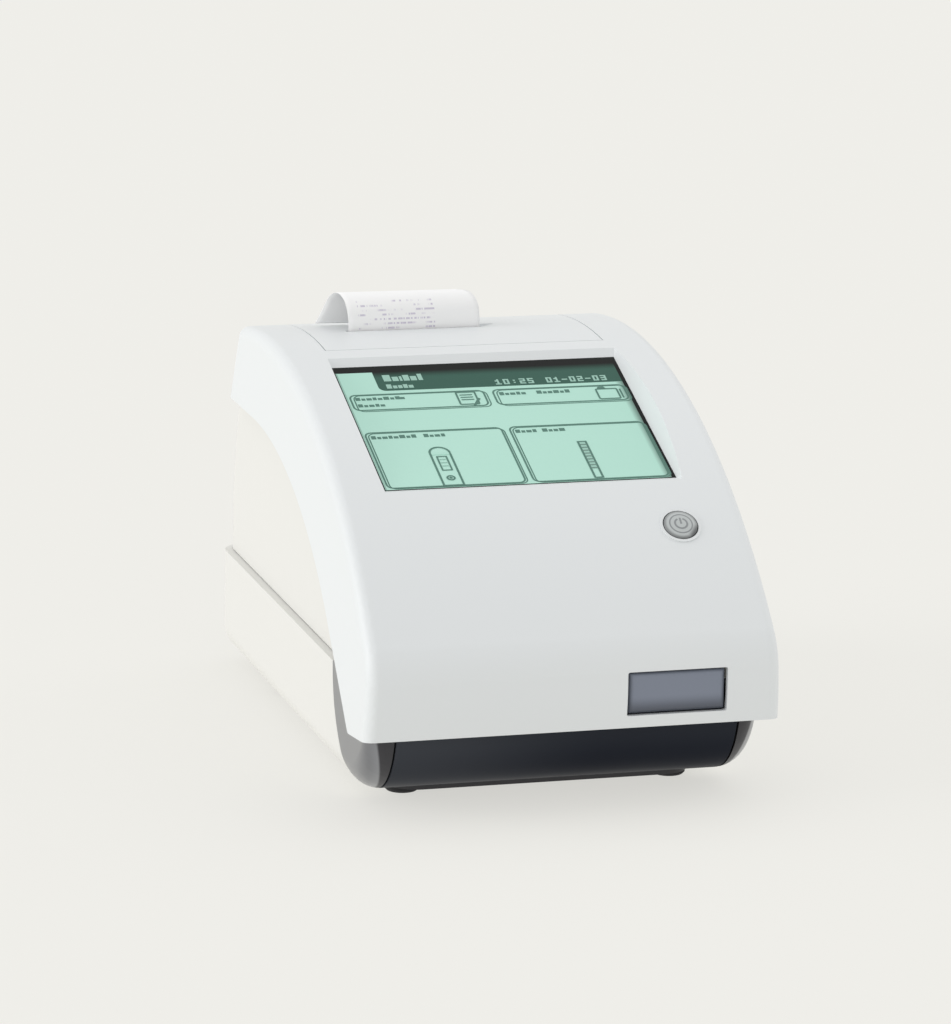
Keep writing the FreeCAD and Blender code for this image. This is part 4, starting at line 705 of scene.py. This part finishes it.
class READER_OT_covers(bpy.types.Operator):
    """Arched cover and printer lid in satin white"""

    bl_idname = "reader.covers"
    bl_label = "Covers"

    def execute(self, context):
        shell_pieces(context, (
            ("top_cover", "arched_cover", "cover_satin", "cover_white"),
            ("printer_cover", "printer_lid", "cover_satin", "cover_white"),
        ))
        return {"FINISHED"}


class READER_OT_housing(bpy.types.Operator):
    """Pale housing under the cover, the hull below it and the battery door"""

    bl_idname = "reader.housing"
    bl_label = "Housing"

    def execute(self, context):
        shell_pieces(context, (
            ("body_shell", "side_housing", "housing_fine", "body_grey"),
            ("base_pan", "base_hull", "hull_fine", "body_grey"),
        ))
        pale = shell_finish(context)["housing_fine"]
        finished("battery_door", "battery_hatch_door", pale, "body_grey")
        return {"FINISHED"}


class READER_OT_keel(bpy.types.Operator):
    """Dark keel, its front panel and the rubber feet"""

    bl_idname = "reader.keel"
    bl_label = "Keel"

    def execute(self, context):
        shell_pieces(context, (
            ("base_keel", "keel", "keel_satin", "base_slate"),
            ("base_front_trim", "base_front_panel", "panel_satin", "base_slate"),
        ))
        finished("rubber_feet", "feet", shell_finish(context)["rubber_matte"], "rubber")
        return {"FINISHED"}


class READER_OT_screen(bpy.types.Operator):
    """Touch screen with its picture: header, clock, two keys and two tiles"""

    bl_idname = "reader.screen"
    bl_label = "Screen"

    def execute(self, context):
        look = context.scene.reader_screen
        glass = Finish("screen_glass", (0.012, 0.013, 0.014), 0.12, IOR=1.5)
        finished("touch_panel", "screen_plate", glass.material, "screen")
        picture = self.picture(look)
        material = Finish("screen_picture", (0.4, 0.7, 0.6), 0.3)
        paint = material.out(
            material.node("ShaderNodeAttribute", {"attribute_name": "paint"}), "Color"
        )
        material.set("Base Color", paint)
        material.set("Emission Color", paint)
        material.set("Emission Strength", look.glow)
        material.set("Specular IOR Level", 0.08)
        as_object("screen_image", picture, [material.material], "housing", "screen")
        return {"FINISHED"}

    def picture(self, look):
        half_x = look.half_width / MM
        half_y = look.half_height / MM
        radius = look.radius / MM
        stroke = look.stroke / MM
        mint, light = tuple(look.ground), tuple(look.ground_light)
        dark, header, lip_shadow = tuple(look.line), tuple(look.header), tuple(look.lip_shadow)
        sheet = Sheet(screen_frame())
        edge = 0.1
        low, high = -half_y + edge, half_y - edge
        # Black painted shade under the pocket's top lip and along the picture's edges
        sheet.bar(-half_x + edge, half_x - edge, low, high, 2, lip_shadow)
        band, right = 42.0, 59.2
        sheet.bar(-60.5, right, -46.3, band, 4, [light, mint, mint, mint])
        head = rounded_outline(-45.0, 70.0, 27.4, 60.0, 3.0)
        head = [(min(x, right), min(y, band)) for x, y in head]
        head = [point for k, point in enumerate(head) if point != head[k - 1]]
        sheet.shape(head, 6, header)
        # Shade of the pocket's edge, over the header and down the right side
        sheet.bar(-44.9, right, band - 4.4, band, 7, [header, header, lip_shadow, lip_shadow])
        side = tuple(a * 0.3 for a in mint)
        sheet.bar(right - 3.2, right, -46.3, 27.4, 5, [mint, side, side, mint])
        sheet.bar(-60.5, -59.9, -46.3, band, 9, tuple(a * 0.7 for a in mint))
        title = toned(header, light, 0.65)
        heading = [(3.2, 0.6), (2.6, 0.5), (1.1, 0.5), (2.6, 0.5), (2.6, 0.6), (1.9, 0)]
        below = [(2.2, 0.5), (1.8, 0.4), (1.8, 0.4), (1.9, 0.4), (2.0, 0)]
        grey_rows(sheet, -41.5, 34.6, heading, 4.9, 8, title)
        grey_rows(sheet, -41.5, 29.0, below, 3.2, 8, title)
        write_number(sheet, "10:25", 5.0, 28.7, 4.0, 17.5, 8, title)
        write_number(sheet, "01-02-03", 27.0, 28.7, 4.0, 27.0, 8, title)
        for x_low, x_high in ((-59.2, -1.6), (1.6, 58.8)):
            sheet.frame(x_low, x_high, 12.8, 25.2, radius, stroke, 8, dark)
            sheet.frame(x_low + 1.6, x_high + 1.0, 11.9, 24.6, radius, stroke * 0.7, 6, dark)
        for x_low, x_high in ((-59.6, -1.4), (1.2, 59.0)):
            sheet.frame(x_low, x_high, -45.6, -3.6, radius, stroke, 8, dark)
            sheet.frame(x_low + 1.2, x_high + 0.8, -46.1, -4.4, radius, stroke * 0.7, 6, dark)
        words = [(width, 0.5) for width in (2.0, 1.6, 2.2, 1.6, 1.9, 2.4, 1.6)] + [(2.0, 0)]
        labels = (
            (-56.8, 20.6, words + [(2.0, 0)], 2.3), (-56.8, 15.6, words[:5], 2.3),
            (4.4, 20.4, words[:5], 2.4), (20.4, 20.4, words[2:], 2.4),
            (-57.2, -8.8, words, 2.4), (-35.2, -8.8, words[:4], 2.4),
            (3.6, -8.6, words[:4], 2.4), (15.0, -8.6, words[2:6], 2.4),
        )
        for x, y, widths, height in labels:
            grey_rows(sheet, x, y, widths, height, 8, dark)
        self.icons(sheet, dark, mint)
        return sheet.done("screen_image")

    def icons(self, sheet, dark, mint):
        soft = toned(dark, mint, 0.5)
        # A form with lines and a pen
        sheet.frame(-14.2, -5.4, 14.2, 24.2, 0.8, 0.8, 10, dark)
        for y in (21.4, 19.6, 17.8):
            sheet.bar(-12.6, -7.2, y, y + 0.7, 10, dark)
        sheet.shape([(-8.6, 13.6), (-7.6, 13.2), (-4.4, 18.4), (-5.4, 19.2)], 12, dark)
        # A folder
        sheet.frame(45.6, 55.4, 14.0, 22.4, 1.0, 0.8, 10, dark)
        sheet.shape([(46.6, 22.2), (50.6, 22.2), (49.8, 23.8), (47.4, 23.8)], 10, dark)
        sheet.bar(55.9, 56.7, 14.6, 21.6, 10, dark)
        # A test cassette: window and well
        x = -31.8
        sheet.frame(x - 4.6, x + 4.6, -45.4, -21.0, 0.5, 0.9, 10, dark)
        sheet.bar(x - 3.7, x + 3.7, -22.4, -20.8, 11, mint)
        sheet.ring(x, -21.0, 4.6, 0.9, 12, dark, 0, 180, 24)
        sheet.frame(x - 2.3, x + 2.3, -34.2, -23.4, 0.3, 0.7, 12, dark)
        for y in (-31.0, -28.6, -26.2):
            sheet.bar(x - 1.3, x + 1.3, y, y + 0.5, 12, soft)
        sheet.ring(x, -39.6, 1.9, 0.8, 12, dark)
        sheet.disc(x, -39.6, 0.7, 12, dark, 12)
        # A test strip
        sheet.frame(27.0, 31.2, -44.6, -16.8, 0.2, 0.9, 10, dark)
        sheet.bar(27.6, 30.6, -37.6, -17.4, 9, toned(mint, dark, 0.3))


class READER_OT_strip_pads(bpy.types.Operator):
    """Pads along the strip on the screen"""

    bl_idname = "reader.strip_pads"
    bl_label = "Strip pads"

    def execute(self, context):
        look = context.scene.reader_screen
        dark = Finish("pad_ink", tuple(look.line), 0.3)
        dark.set("Emission Color", (*look.line, 1))
        dark.set("Emission Strength", look.glow)
        pitch = 19.6 / look.pads
        mesh = row_of(
            "icon_pads", look.pads,
            Vector((29.1, -37.0, 0.26)) * MM, Vector((0, pitch, 0)) * MM,
            Vector((3.0, pitch * 0.32, 0.02)) * MM, dark.material,
        )
        mesh.transform(screen_frame())
        as_object("strip_icon_pads", mesh, [dark.material], "housing", "screen")
        return {"FINISHED"}


class READER_OT_button(bpy.types.Operator):
    """Power button with its ring and symbol"""

    bl_idname = "reader.button"
    bl_label = "Power button"

    def execute(self, context):
        look = context.scene.reader_button
        cap = Finish("button_satin", tuple(look.cap), 0.35)
        cap.moulded(context.scene.reader_shell.grain, 0.000005)
        cap.set("Base Color", self.shaded(cap, look))
        finished("power_button", "power_key", cap.material, "button_grey", 0.15 * MM)
        placement = button_frame()
        bent = Sheet(placement, 0.01)
        mark = tuple(look.mark)
        ring = look.ring / MM
        symbol = look.symbol / MM
        bent.ring(0, 0, ring, 0.55, 0, mark, steps=48)
        bent.ring(0, 0, symbol, 0.8, 0, mark, start=115, turn=310, steps=32)
        pieces, foot, half = 5, 0.3, 0.4
        part = symbol * 1.1 / pieces
        for k in range(pieces):
            bent.bar(-half, half, k * part - foot, (k + 1) * part - foot, 0, mark)
        mesh = bent.done("power_symbol")
        self.lay_on_dome(mesh, placement)
        ink = Finish("button_mark", mark, 0.45)
        as_object("power_symbol", mesh, [ink.material], "button", "button_grey")
        return {"FINISHED"}

    def shaded(self, cap, look):
        """The cap's colour with painted shade: darker where its rim turns down at the lower right,
        away from the lamp, and in a ring round its edge.
        """
        placement = button_frame()
        up, middle = placement.col[1], placement.translation
        x, y, z, _ = cap.place()
        rise = (y - middle.y) * up.y + (z - middle.z) * up.z
        slant = (x - middle.x) * 0.8 - rise * 0.6
        away = ((x - middle.x).power(2) + rise.power(2)).root()
        # Painted shade at the lower right and round the cap's edge
        cap_shade = slant.between(4.2 * MM, 6.6 * MM).most(away.between(5.4 * MM, 7.0 * MM) * 0.8)
        return cap.blend(cap_shade, tuple(look.cap), tuple(look.rim))

    def lay_on_dome(self, mesh, placement):
        """Drop each point to just above the cap's dome."""
        back = placement.inverted()
        radius, crown = 7.0, 0.7
        sphere = (radius ** 2 + crown ** 2) / (2 * crown)
        for vertex in mesh.vertices:
            local = back @ vertex.co / MM
            away = math.hypot(local.x, local.y)
            drop = sphere - math.sqrt(sphere ** 2 - away ** 2)
            local.z = 0.02 - drop
            vertex.co = placement @ (local * MM)


class READER_OT_slip(bpy.types.Operator):
    """Printed slip that stands in the slot and curls back"""

    bl_idname = "reader.slip"
    bl_label = "Printed slip"

    def execute(self, context):
        look = context.scene.reader_slip
        low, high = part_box("paper_strip")
        mesh = self.sheet_mesh(look, low, high)
        paper = self.paper(look)
        slip = as_object("printed_slip", mesh, [paper], "lid", "paper", "paper_strip")
        thick = slip.modifiers.new("Thickness", "SOLIDIFY")
        thick.thickness = 0.12 * MM
        thick.offset = 0
        finished("paper_roll", "roll_of_paper", self.roll(look), "paper")
        return {"FINISHED"}

    def sheet_mesh(self, look, low, high):
        """Grid along the paper's run: up, over the curl and down behind it."""
        across_steps, along_steps = 24, 48
        front = low.y
        base = low.z
        top = high.z - 0.1 * MM
        bend = top - look.curl
        straight = bend - base
        run = straight + math.pi * look.curl + look.tail
        crest = straight + look.curl * math.pi / 2
        width = high.x - low.x
        mesh = bmesh.new()
        layer = mesh.loops.layers.uv.new("UVMap")
        grid = []
        for j in range(along_steps + 1):
            s = run * j / along_steps
            row = []
            for i in range(across_steps + 1):
                u = i / across_steps
                y, z = self.place_on_run(s, straight, look.curl)
                past = max(0.0, s - straight * 0.6) / (run - straight * 0.6)
                lean = look.flare * past ** 1.5 * (1 - u) ** 1.3
                spread = look.flare * 0.9 * past ** 2 * (1 - u) ** 1.2
                near = min(max(0.0, s - straight * 0.55) / (crest - straight * 0.55), 1.0)
                cut = look.corner * (1 - math.sqrt(1 - near ** 2)) * u ** 4
                x = low.x + width * u - lean - cut
                row.append(mesh.verts.new((x, front + y + spread, base + z)))
            grid.append(row)
        for j in range(along_steps):
            for i in range(across_steps):
                corners = [grid[j][i], grid[j][i + 1], grid[j + 1][i + 1], grid[j + 1][i]]
                face = mesh.faces.new(corners)
                face.smooth = True
                marks = ((i, j), (i + 1, j), (i + 1, j + 1), (i, j + 1))
                for loop, (a, b) in zip(face.loops, marks):
                    loop[layer].uv = (a / across_steps, b / along_steps)
        made = bpy.data.meshes.new("printed_slip")
        mesh.to_mesh(made)
        mesh.free()
        return made

    def place_on_run(self, s, straight, curl):
        if s < straight:
            return 0.0, s
        angle = (s - straight) / curl
        if angle < math.pi:
            return curl - curl * math.cos(angle), straight + curl * math.sin(angle)
        return 2 * curl, straight - (s - straight - math.pi * curl)

    def paper(self, look):
        made = Finish("thermal_paper", tuple(look.paper), 0.6)
        uv = made.node("ShaderNodeUVMap", {"uv_map": "UVMap"})
        parts = made.node("ShaderNodeSeparateXYZ", Vector=made.out(uv, "UV"))
        u, v = made.out(parts, "X"), made.out(parts, "Y")
        rows = (v * 22).wrapped(1)
        line = (rows > 0.3) * (rows < 0.72)
        letters = made.node("ShaderNodeCombineXYZ", X=u * 60, Y=(v * 22).floor() * 7.3)
        words = made.node("ShaderNodeCombineXYZ", X=u * 9, Y=(v * 22).floor() * 3.1)
        broken = made.noise(made.out(letters, "Vector"), 1.0, 1.0)
        gaps = made.noise(made.out(words, "Vector"), 1.0, 0.0)
        written = line * (broken > 0.47) * gaps.between(0.42, 0.6)
        written = written * (u > 0.08) * (u < 0.66) * (v > 0.06) * (v < 0.42)
        made.set("Base Color", made.blend(written * 0.8, look.paper, look.ink))
        return made.material

    def roll(self, look):
        """Paper with the edges of its layers on the roll's two faces."""
        made = Finish("wound_paper", tuple(look.paper), 0.65)
        low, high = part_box("paper_roll")
        _, y, z, _ = made.place()
        across = ((y - (low.y + high.y) / 2).power(2) + (z - (low.z + high.z) / 2).power(2)).root()
        rings = (across * 9000).sine() * 0.5 + 0.5
        made.set("Base Color", made.blend(rings * 0.25, look.paper, (0.45, 0.44, 0.46)))
        return made.material


class READER_OT_table(bpy.types.Operator):
    """Sample table: front plate, tray, insert, rack and pinion"""

    bl_idname = "reader.table"
    bl_label = "Sample table"

    def execute(self, context):
        look = context.scene.reader_table
        finishes = shell_finish(context)
        plate = Finish("plate_satin", tuple(look.face), 0.35)
        low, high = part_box("table_face")
        x, _, z, _ = plate.place()
        inside_x = (high.x - low.x) / 2 - (x - (low.x + high.x) / 2).size()
        inside_z = (high.z - low.z) / 2 - (z - (low.z + high.z) / 2).size()
        # Painted shade: darker round the plate's rim and towards its foot, lighter in its lit
        # middle
        rim = (inside_x * 0.6).least(inside_z).between(-0.2 * MM, 1.4 * MM)
        foot = (z - low.z).between(0.6 * MM, 7.4 * MM)
        plate.set("Base Color", plate.blend(rim * foot, look.face, look.lit_middle))
        finished("table_face", "table_front_plate", plate.material, "face_slate", 0.4 * MM)
        finished("test_table", "table_tray", finishes["plastic_grey"], "grey_plastic", 0.2 * MM)
        insert = Finish("insert_matte", tuple(look.insert), 0.5)
        insert.moulded(context.scene.reader_shell.grain)
        finished("table_insert", "tray_liner", insert.material, "insert_white", 0.25 * MM)
        repaint("calibration_bar", insert.material)
        repaint("table_guide", finishes["plastic_grey"])
        brass = metal("turned_brass", (0.60, 0.44, 0.20), 0.32, (1, 1, 8))
        for node in ("table_pinion", "feed_pinion"):
            repaint(node, brass)
        rack = Finish("rack_plastic", (0.62, 0.58, 0.48), 0.45)
        repaint("table_rack", rack.material)
        return {"FINISHED"}


class READER_OT_printer(bpy.types.Operator):
    """Platen, print head, frame and the bin for the roll"""

    bl_idname = "reader.printer"
    bl_label = "Printer"

    def execute(self, context):
        finishes = shell_finish(context)
        steel = metal("brushed_steel", (0.56, 0.57, 0.59), 0.34, (0.06, 1, 1))
        alloy = metal("milled_alloy", (0.68, 0.69, 0.71), 0.36, (0.05, 1, 1))
        finished("platen_roller", "platen", finishes["rubber_matte"], "rubber")
        finished("roll_cradle", "roll_bin", finishes["plastic_grey"], "grey_plastic", 0.2 * MM)
        finished("roll_spindle", "spindle", finishes["plastic_grey"], "grey_plastic")
        repaint("platen_gear", finishes["plastic_grey"])
        repaint("print_head", alloy)
        steel_nodes = (
            "printer_frame", "cover_hinge_pins", "lcd_module", "display_bracket",
            "display_screws", "base_screws", "guide_screws", "battery_contacts",
            "battery_door_pin", "table_motor", "feed_motor",
        )
        for node in steel_nodes:
            repaint(node, steel)
        return {"FINISHED"}


class READER_OT_inside(bpy.types.Operator):
    """Boards, reading head and battery cells"""

    bl_idname = "reader.inside"
    bl_label = "Inside"

    def execute(self, context):
        finishes = shell_finish(context)
        lacquer, track = (0.012, 0.10, 0.045), (0.03, 0.2, 0.09)
        board = Finish("board_lacquer", lacquer, 0.3)
        x, y = board.place()[:2]
        tracks = ((x * 2400).sine() * (y * 1700).sine()) > 0.55
        board.set("Base Color", board.blend(tracks * 0.5, lacquer, track))
        for node in ("main_board", "optics_board", "key_board"):
            repaint(node, board.material)
        for node in ("optics_housing", "battery_box"):
            repaint(node, finishes["plastic_black"])
        clear = Finish(
            "window_clear", (0.85, 0.9, 0.9), 0.05, IOR=1.5, Transmission_Weight=0.9
        )
        repaint("optics_window", clear.material)
        dark, copper = (0.05, 0.06, 0.09), (0.55, 0.42, 0.20)
        jacket = Finish("cell_jacket", dark, 0.3)
        low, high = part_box("batteries")
        along = jacket.place()[1]
        band = (along - low.y) / (high.y - low.y)
        jacket.set("Base Color", jacket.blend(band > 0.72, dark, copper))
        repaint("batteries", jacket.material)
        return {"FINISHED"}


class READER_OT_sockets(bpy.types.Operator):
    """Power inlet and nine-way socket at the rear, with their contacts"""

    bl_idname = "reader.sockets"
    bl_label = "Sockets"

    def execute(self, context):
        look = context.scene.reader_rear
        finishes = shell_finish(context)
        steel = metal("plated_shell", (0.60, 0.60, 0.58), 0.28, (0.06, 1, 1))
        gold = metal("gilt_contact", (0.75, 0.56, 0.22), 0.25, (1, 1, 1))
        finished("power_inlet", "power_socket", finishes["plastic_black"], "black_plastic")
        finished("serial_port", "serial_socket", steel, "steel")
        low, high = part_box("serial_port")
        middle = (low + high) / 2
        face = high.y - look.sunk
        pitch = look.pitch
        for row, (count, lift) in enumerate(((look.contacts, 1), (look.contacts - 1, -1))):
            start = Vector((middle.x - pitch * (count - 1) / 2, face, middle.z + lift * pitch / 2))
            name = "contacts_" + "ab"[row]
            mesh = row_of(
                name, count, start, Vector((pitch, 0, 0)), look.contact, gold, pins=True
            )
            as_object(name, mesh, [gold], "housing", "steel")
        return {"FINISHED"}


class READER_OT_grip(bpy.types.Operator):
    """Grip ribs on the battery door"""

    bl_idname = "reader.grip"
    bl_label = "Door grip"

    def execute(self, context):
        look = context.scene.reader_rear
        pale = shell_finish(context)["housing_fine"]
        low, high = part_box("battery_door")
        middle = (low.x + high.x) / 2
        start = Vector((middle, high.y - look.rib[1] / 2, high.z - look.rib_drop))
        mesh = row_of(
            "door_ribs", look.ribs, start, Vector((0, 0, -look.rib_pitch)), look.rib, pale,
        )
        as_object("door_grip_ribs", mesh, [pale], "battery_hatch", "body_grey")
        return {"FINISHED"}


class READER_OT_stage(bpy.types.Operator):
    """Pale floor, even light, a soft lamp and the camera"""

    bl_idname = "reader.stage"
    bl_label = "Stage"

    def execute(self, context):
        look = context.scene.reader_light
        self.floor(look)
        self.world(context, look)
        self.lamp(context, "left_light", look.left, 40, (-0.95, 0.1, 0.25))
        self.lamp(context, "right_light", look.right, 60, (0.6, 0.3, 0.74))
        self.camera(context)
        return {"FINISHED"}

    def floor(self, look):
        size = 60.0
        mesh = bpy.data.meshes.new("floor")
        corners = [(-size, -size, 0), (size, -size, 0), (size, size, 0), (-size, size, 0)]
        mesh.from_pydata(corners, [], [(0, 1, 2, 3)])
        floor = bpy.data.objects.new("floor", mesh)
        bpy.context.scene.collection.objects.link(floor)
        material = bpy.data.materials.new("floor_paper")
        material.use_nodes = True
        tree = material.node_tree
        tree.nodes.clear()
        paint = (*look.backdrop, 1)
        matte = add_node(tree, "ShaderNodeBsdfDiffuse", Color=paint)
        glow = add_node(tree, "ShaderNodeEmission", Color=paint)
        self.mixed(tree, 1 - look.floor_shade, matte, glow, "ShaderNodeOutputMaterial")
        mesh.materials.append(material)

    def world(self, context, look):
        world = bpy.data.worlds.new("studio")
        context.scene.world = world
        world.use_nodes = True
        tree = world.node_tree
        tree.nodes.clear()
        path = add_node(tree, "ShaderNodeLightPath")
        seen = Wire(tree, path.outputs["Is Camera Ray"])
        seen = seen.most(Wire(tree, path.outputs["Is Glossy Ray"]))
        seen = seen.most(Wire(tree, path.outputs["Is Transmission Ray"]))
        light = add_node(tree, "ShaderNodeBackground", Color=(1, 1, 1, 1), Strength=look.sky)
        backdrop = add_node(tree, "ShaderNodeBackground", Color=(*look.backdrop, 1))
        self.mixed(tree, seen, light, backdrop, "ShaderNodeOutputWorld")

    def mixed(self, tree, part, first, second, output):
        """Mix two shaders by this share of the second, into the tree's output."""
        mix = add_node(tree, "ShaderNodeMixShader", Fac=part)
        tree.links.new(first.outputs[0], mix.inputs[1])
        tree.links.new(second.outputs[0], mix.inputs[2])
        add_node(tree, output, Surface=Wire(tree, mix.outputs[0]))

    def lamp(self, context, name, strength, spread, towards):
        """A soft lamp, far off in this direction."""
        lamp = bpy.data.lights.new(name, "SUN")
        lamp.energy = strength
        lamp.angle = math.radians(spread)
        thing = bpy.data.objects.new(name, lamp)
        thing.rotation_euler = Vector(towards).to_track_quat("Z", "Y").to_euler()
        context.scene.collection.objects.link(thing)

    def camera(self, context):
        lens = bpy.data.cameras.new("camera")
        lens.sensor_width = 36
        lens.lens = 175.78
        lens.clip_start = 0.1
        lens.clip_end = 200
        turn = Matrix()
        for angle, axis in ((-15.995, "Z"), (90 - 13.201, "X"), (0.987, "Z")):
            turn = turn @ Matrix.Rotation(math.radians(angle), 4, axis)
        target = Matrix.Translation((-0.019305, -0.0545, 0.105926))
        thing = bpy.data.objects.new("camera", lens)
        thing.matrix_world = target @ turn @ Matrix.Translation((0, 0, 2.017))
        context.scene.collection.objects.link(thing)
        context.scene.camera = thing
        context.scene.view_settings.view_transform = "Standard"


GROUPS = {
    "reader_shell": ReaderShell,
    "reader_screen": ReaderScreen,
    "reader_slip": ReaderSlip,
    "reader_table": ReaderTable,
    "reader_button": ReaderButton,
    "reader_rear": ReaderRear,
    "reader_light": ReaderLight,
}

OPERATORS = (
    READER_OT_covers,
    READER_OT_housing,
    READER_OT_keel,
    READER_OT_screen,
    READER_OT_strip_pads,
    READER_OT_button,
    READER_OT_slip,
    READER_OT_table,
    READER_OT_printer,
    READER_OT_inside,
    READER_OT_sockets,
    READER_OT_grip,
    READER_OT_stage,
)


class READER_PT_panel(bpy.types.Panel):
    """Pieces of the reader, with their sizes and colours"""

    bl_label = "Strip reader"
    bl_idname = "READER_PT_panel"
    bl_space_type = "VIEW_3D"
    bl_region_type = "UI"
    bl_category = "Strip reader"

    def draw(self, context):
        layout = self.layout
        for operator in OPERATORS:
            layout.operator(operator.bl_idname)
        for name, group in GROUPS.items():
            box = layout.box()
            for prop in group.__annotations__:
                box.prop(getattr(context.scene, name), prop)


def register():
    for group in GROUPS.values():
        bpy.utils.register_class(group)
    for name, group in GROUPS.items():
        setattr(bpy.types.Scene, name, PointerProperty(type=group))
    for operator in OPERATORS:
        bpy.utils.register_class(operator)
    bpy.utils.register_class(READER_PT_panel)


def unregister():
    bpy.utils.unregister_class(READER_PT_panel)
    for operator in reversed(OPERATORS):
        bpy.utils.unregister_class(operator)
    for name in GROUPS:
        delattr(bpy.types.Scene, name)
    for group in reversed(list(GROUPS.values())):
        bpy.utils.unregister_class(group)


def main():
    register()
    bpy.ops.reader.covers()
    bpy.ops.reader.housing()
    bpy.ops.reader.keel()
    bpy.ops.reader.screen()
    bpy.ops.reader.strip_pads()
    bpy.ops.reader.button()
    bpy.ops.reader.slip()
    bpy.ops.reader.table()
    bpy.ops.reader.printer()
    bpy.ops.reader.inside()
    bpy.ops.reader.sockets()
    bpy.ops.reader.grip()
    bpy.ops.reader.stage()


if __name__ == "__main__":
    main()
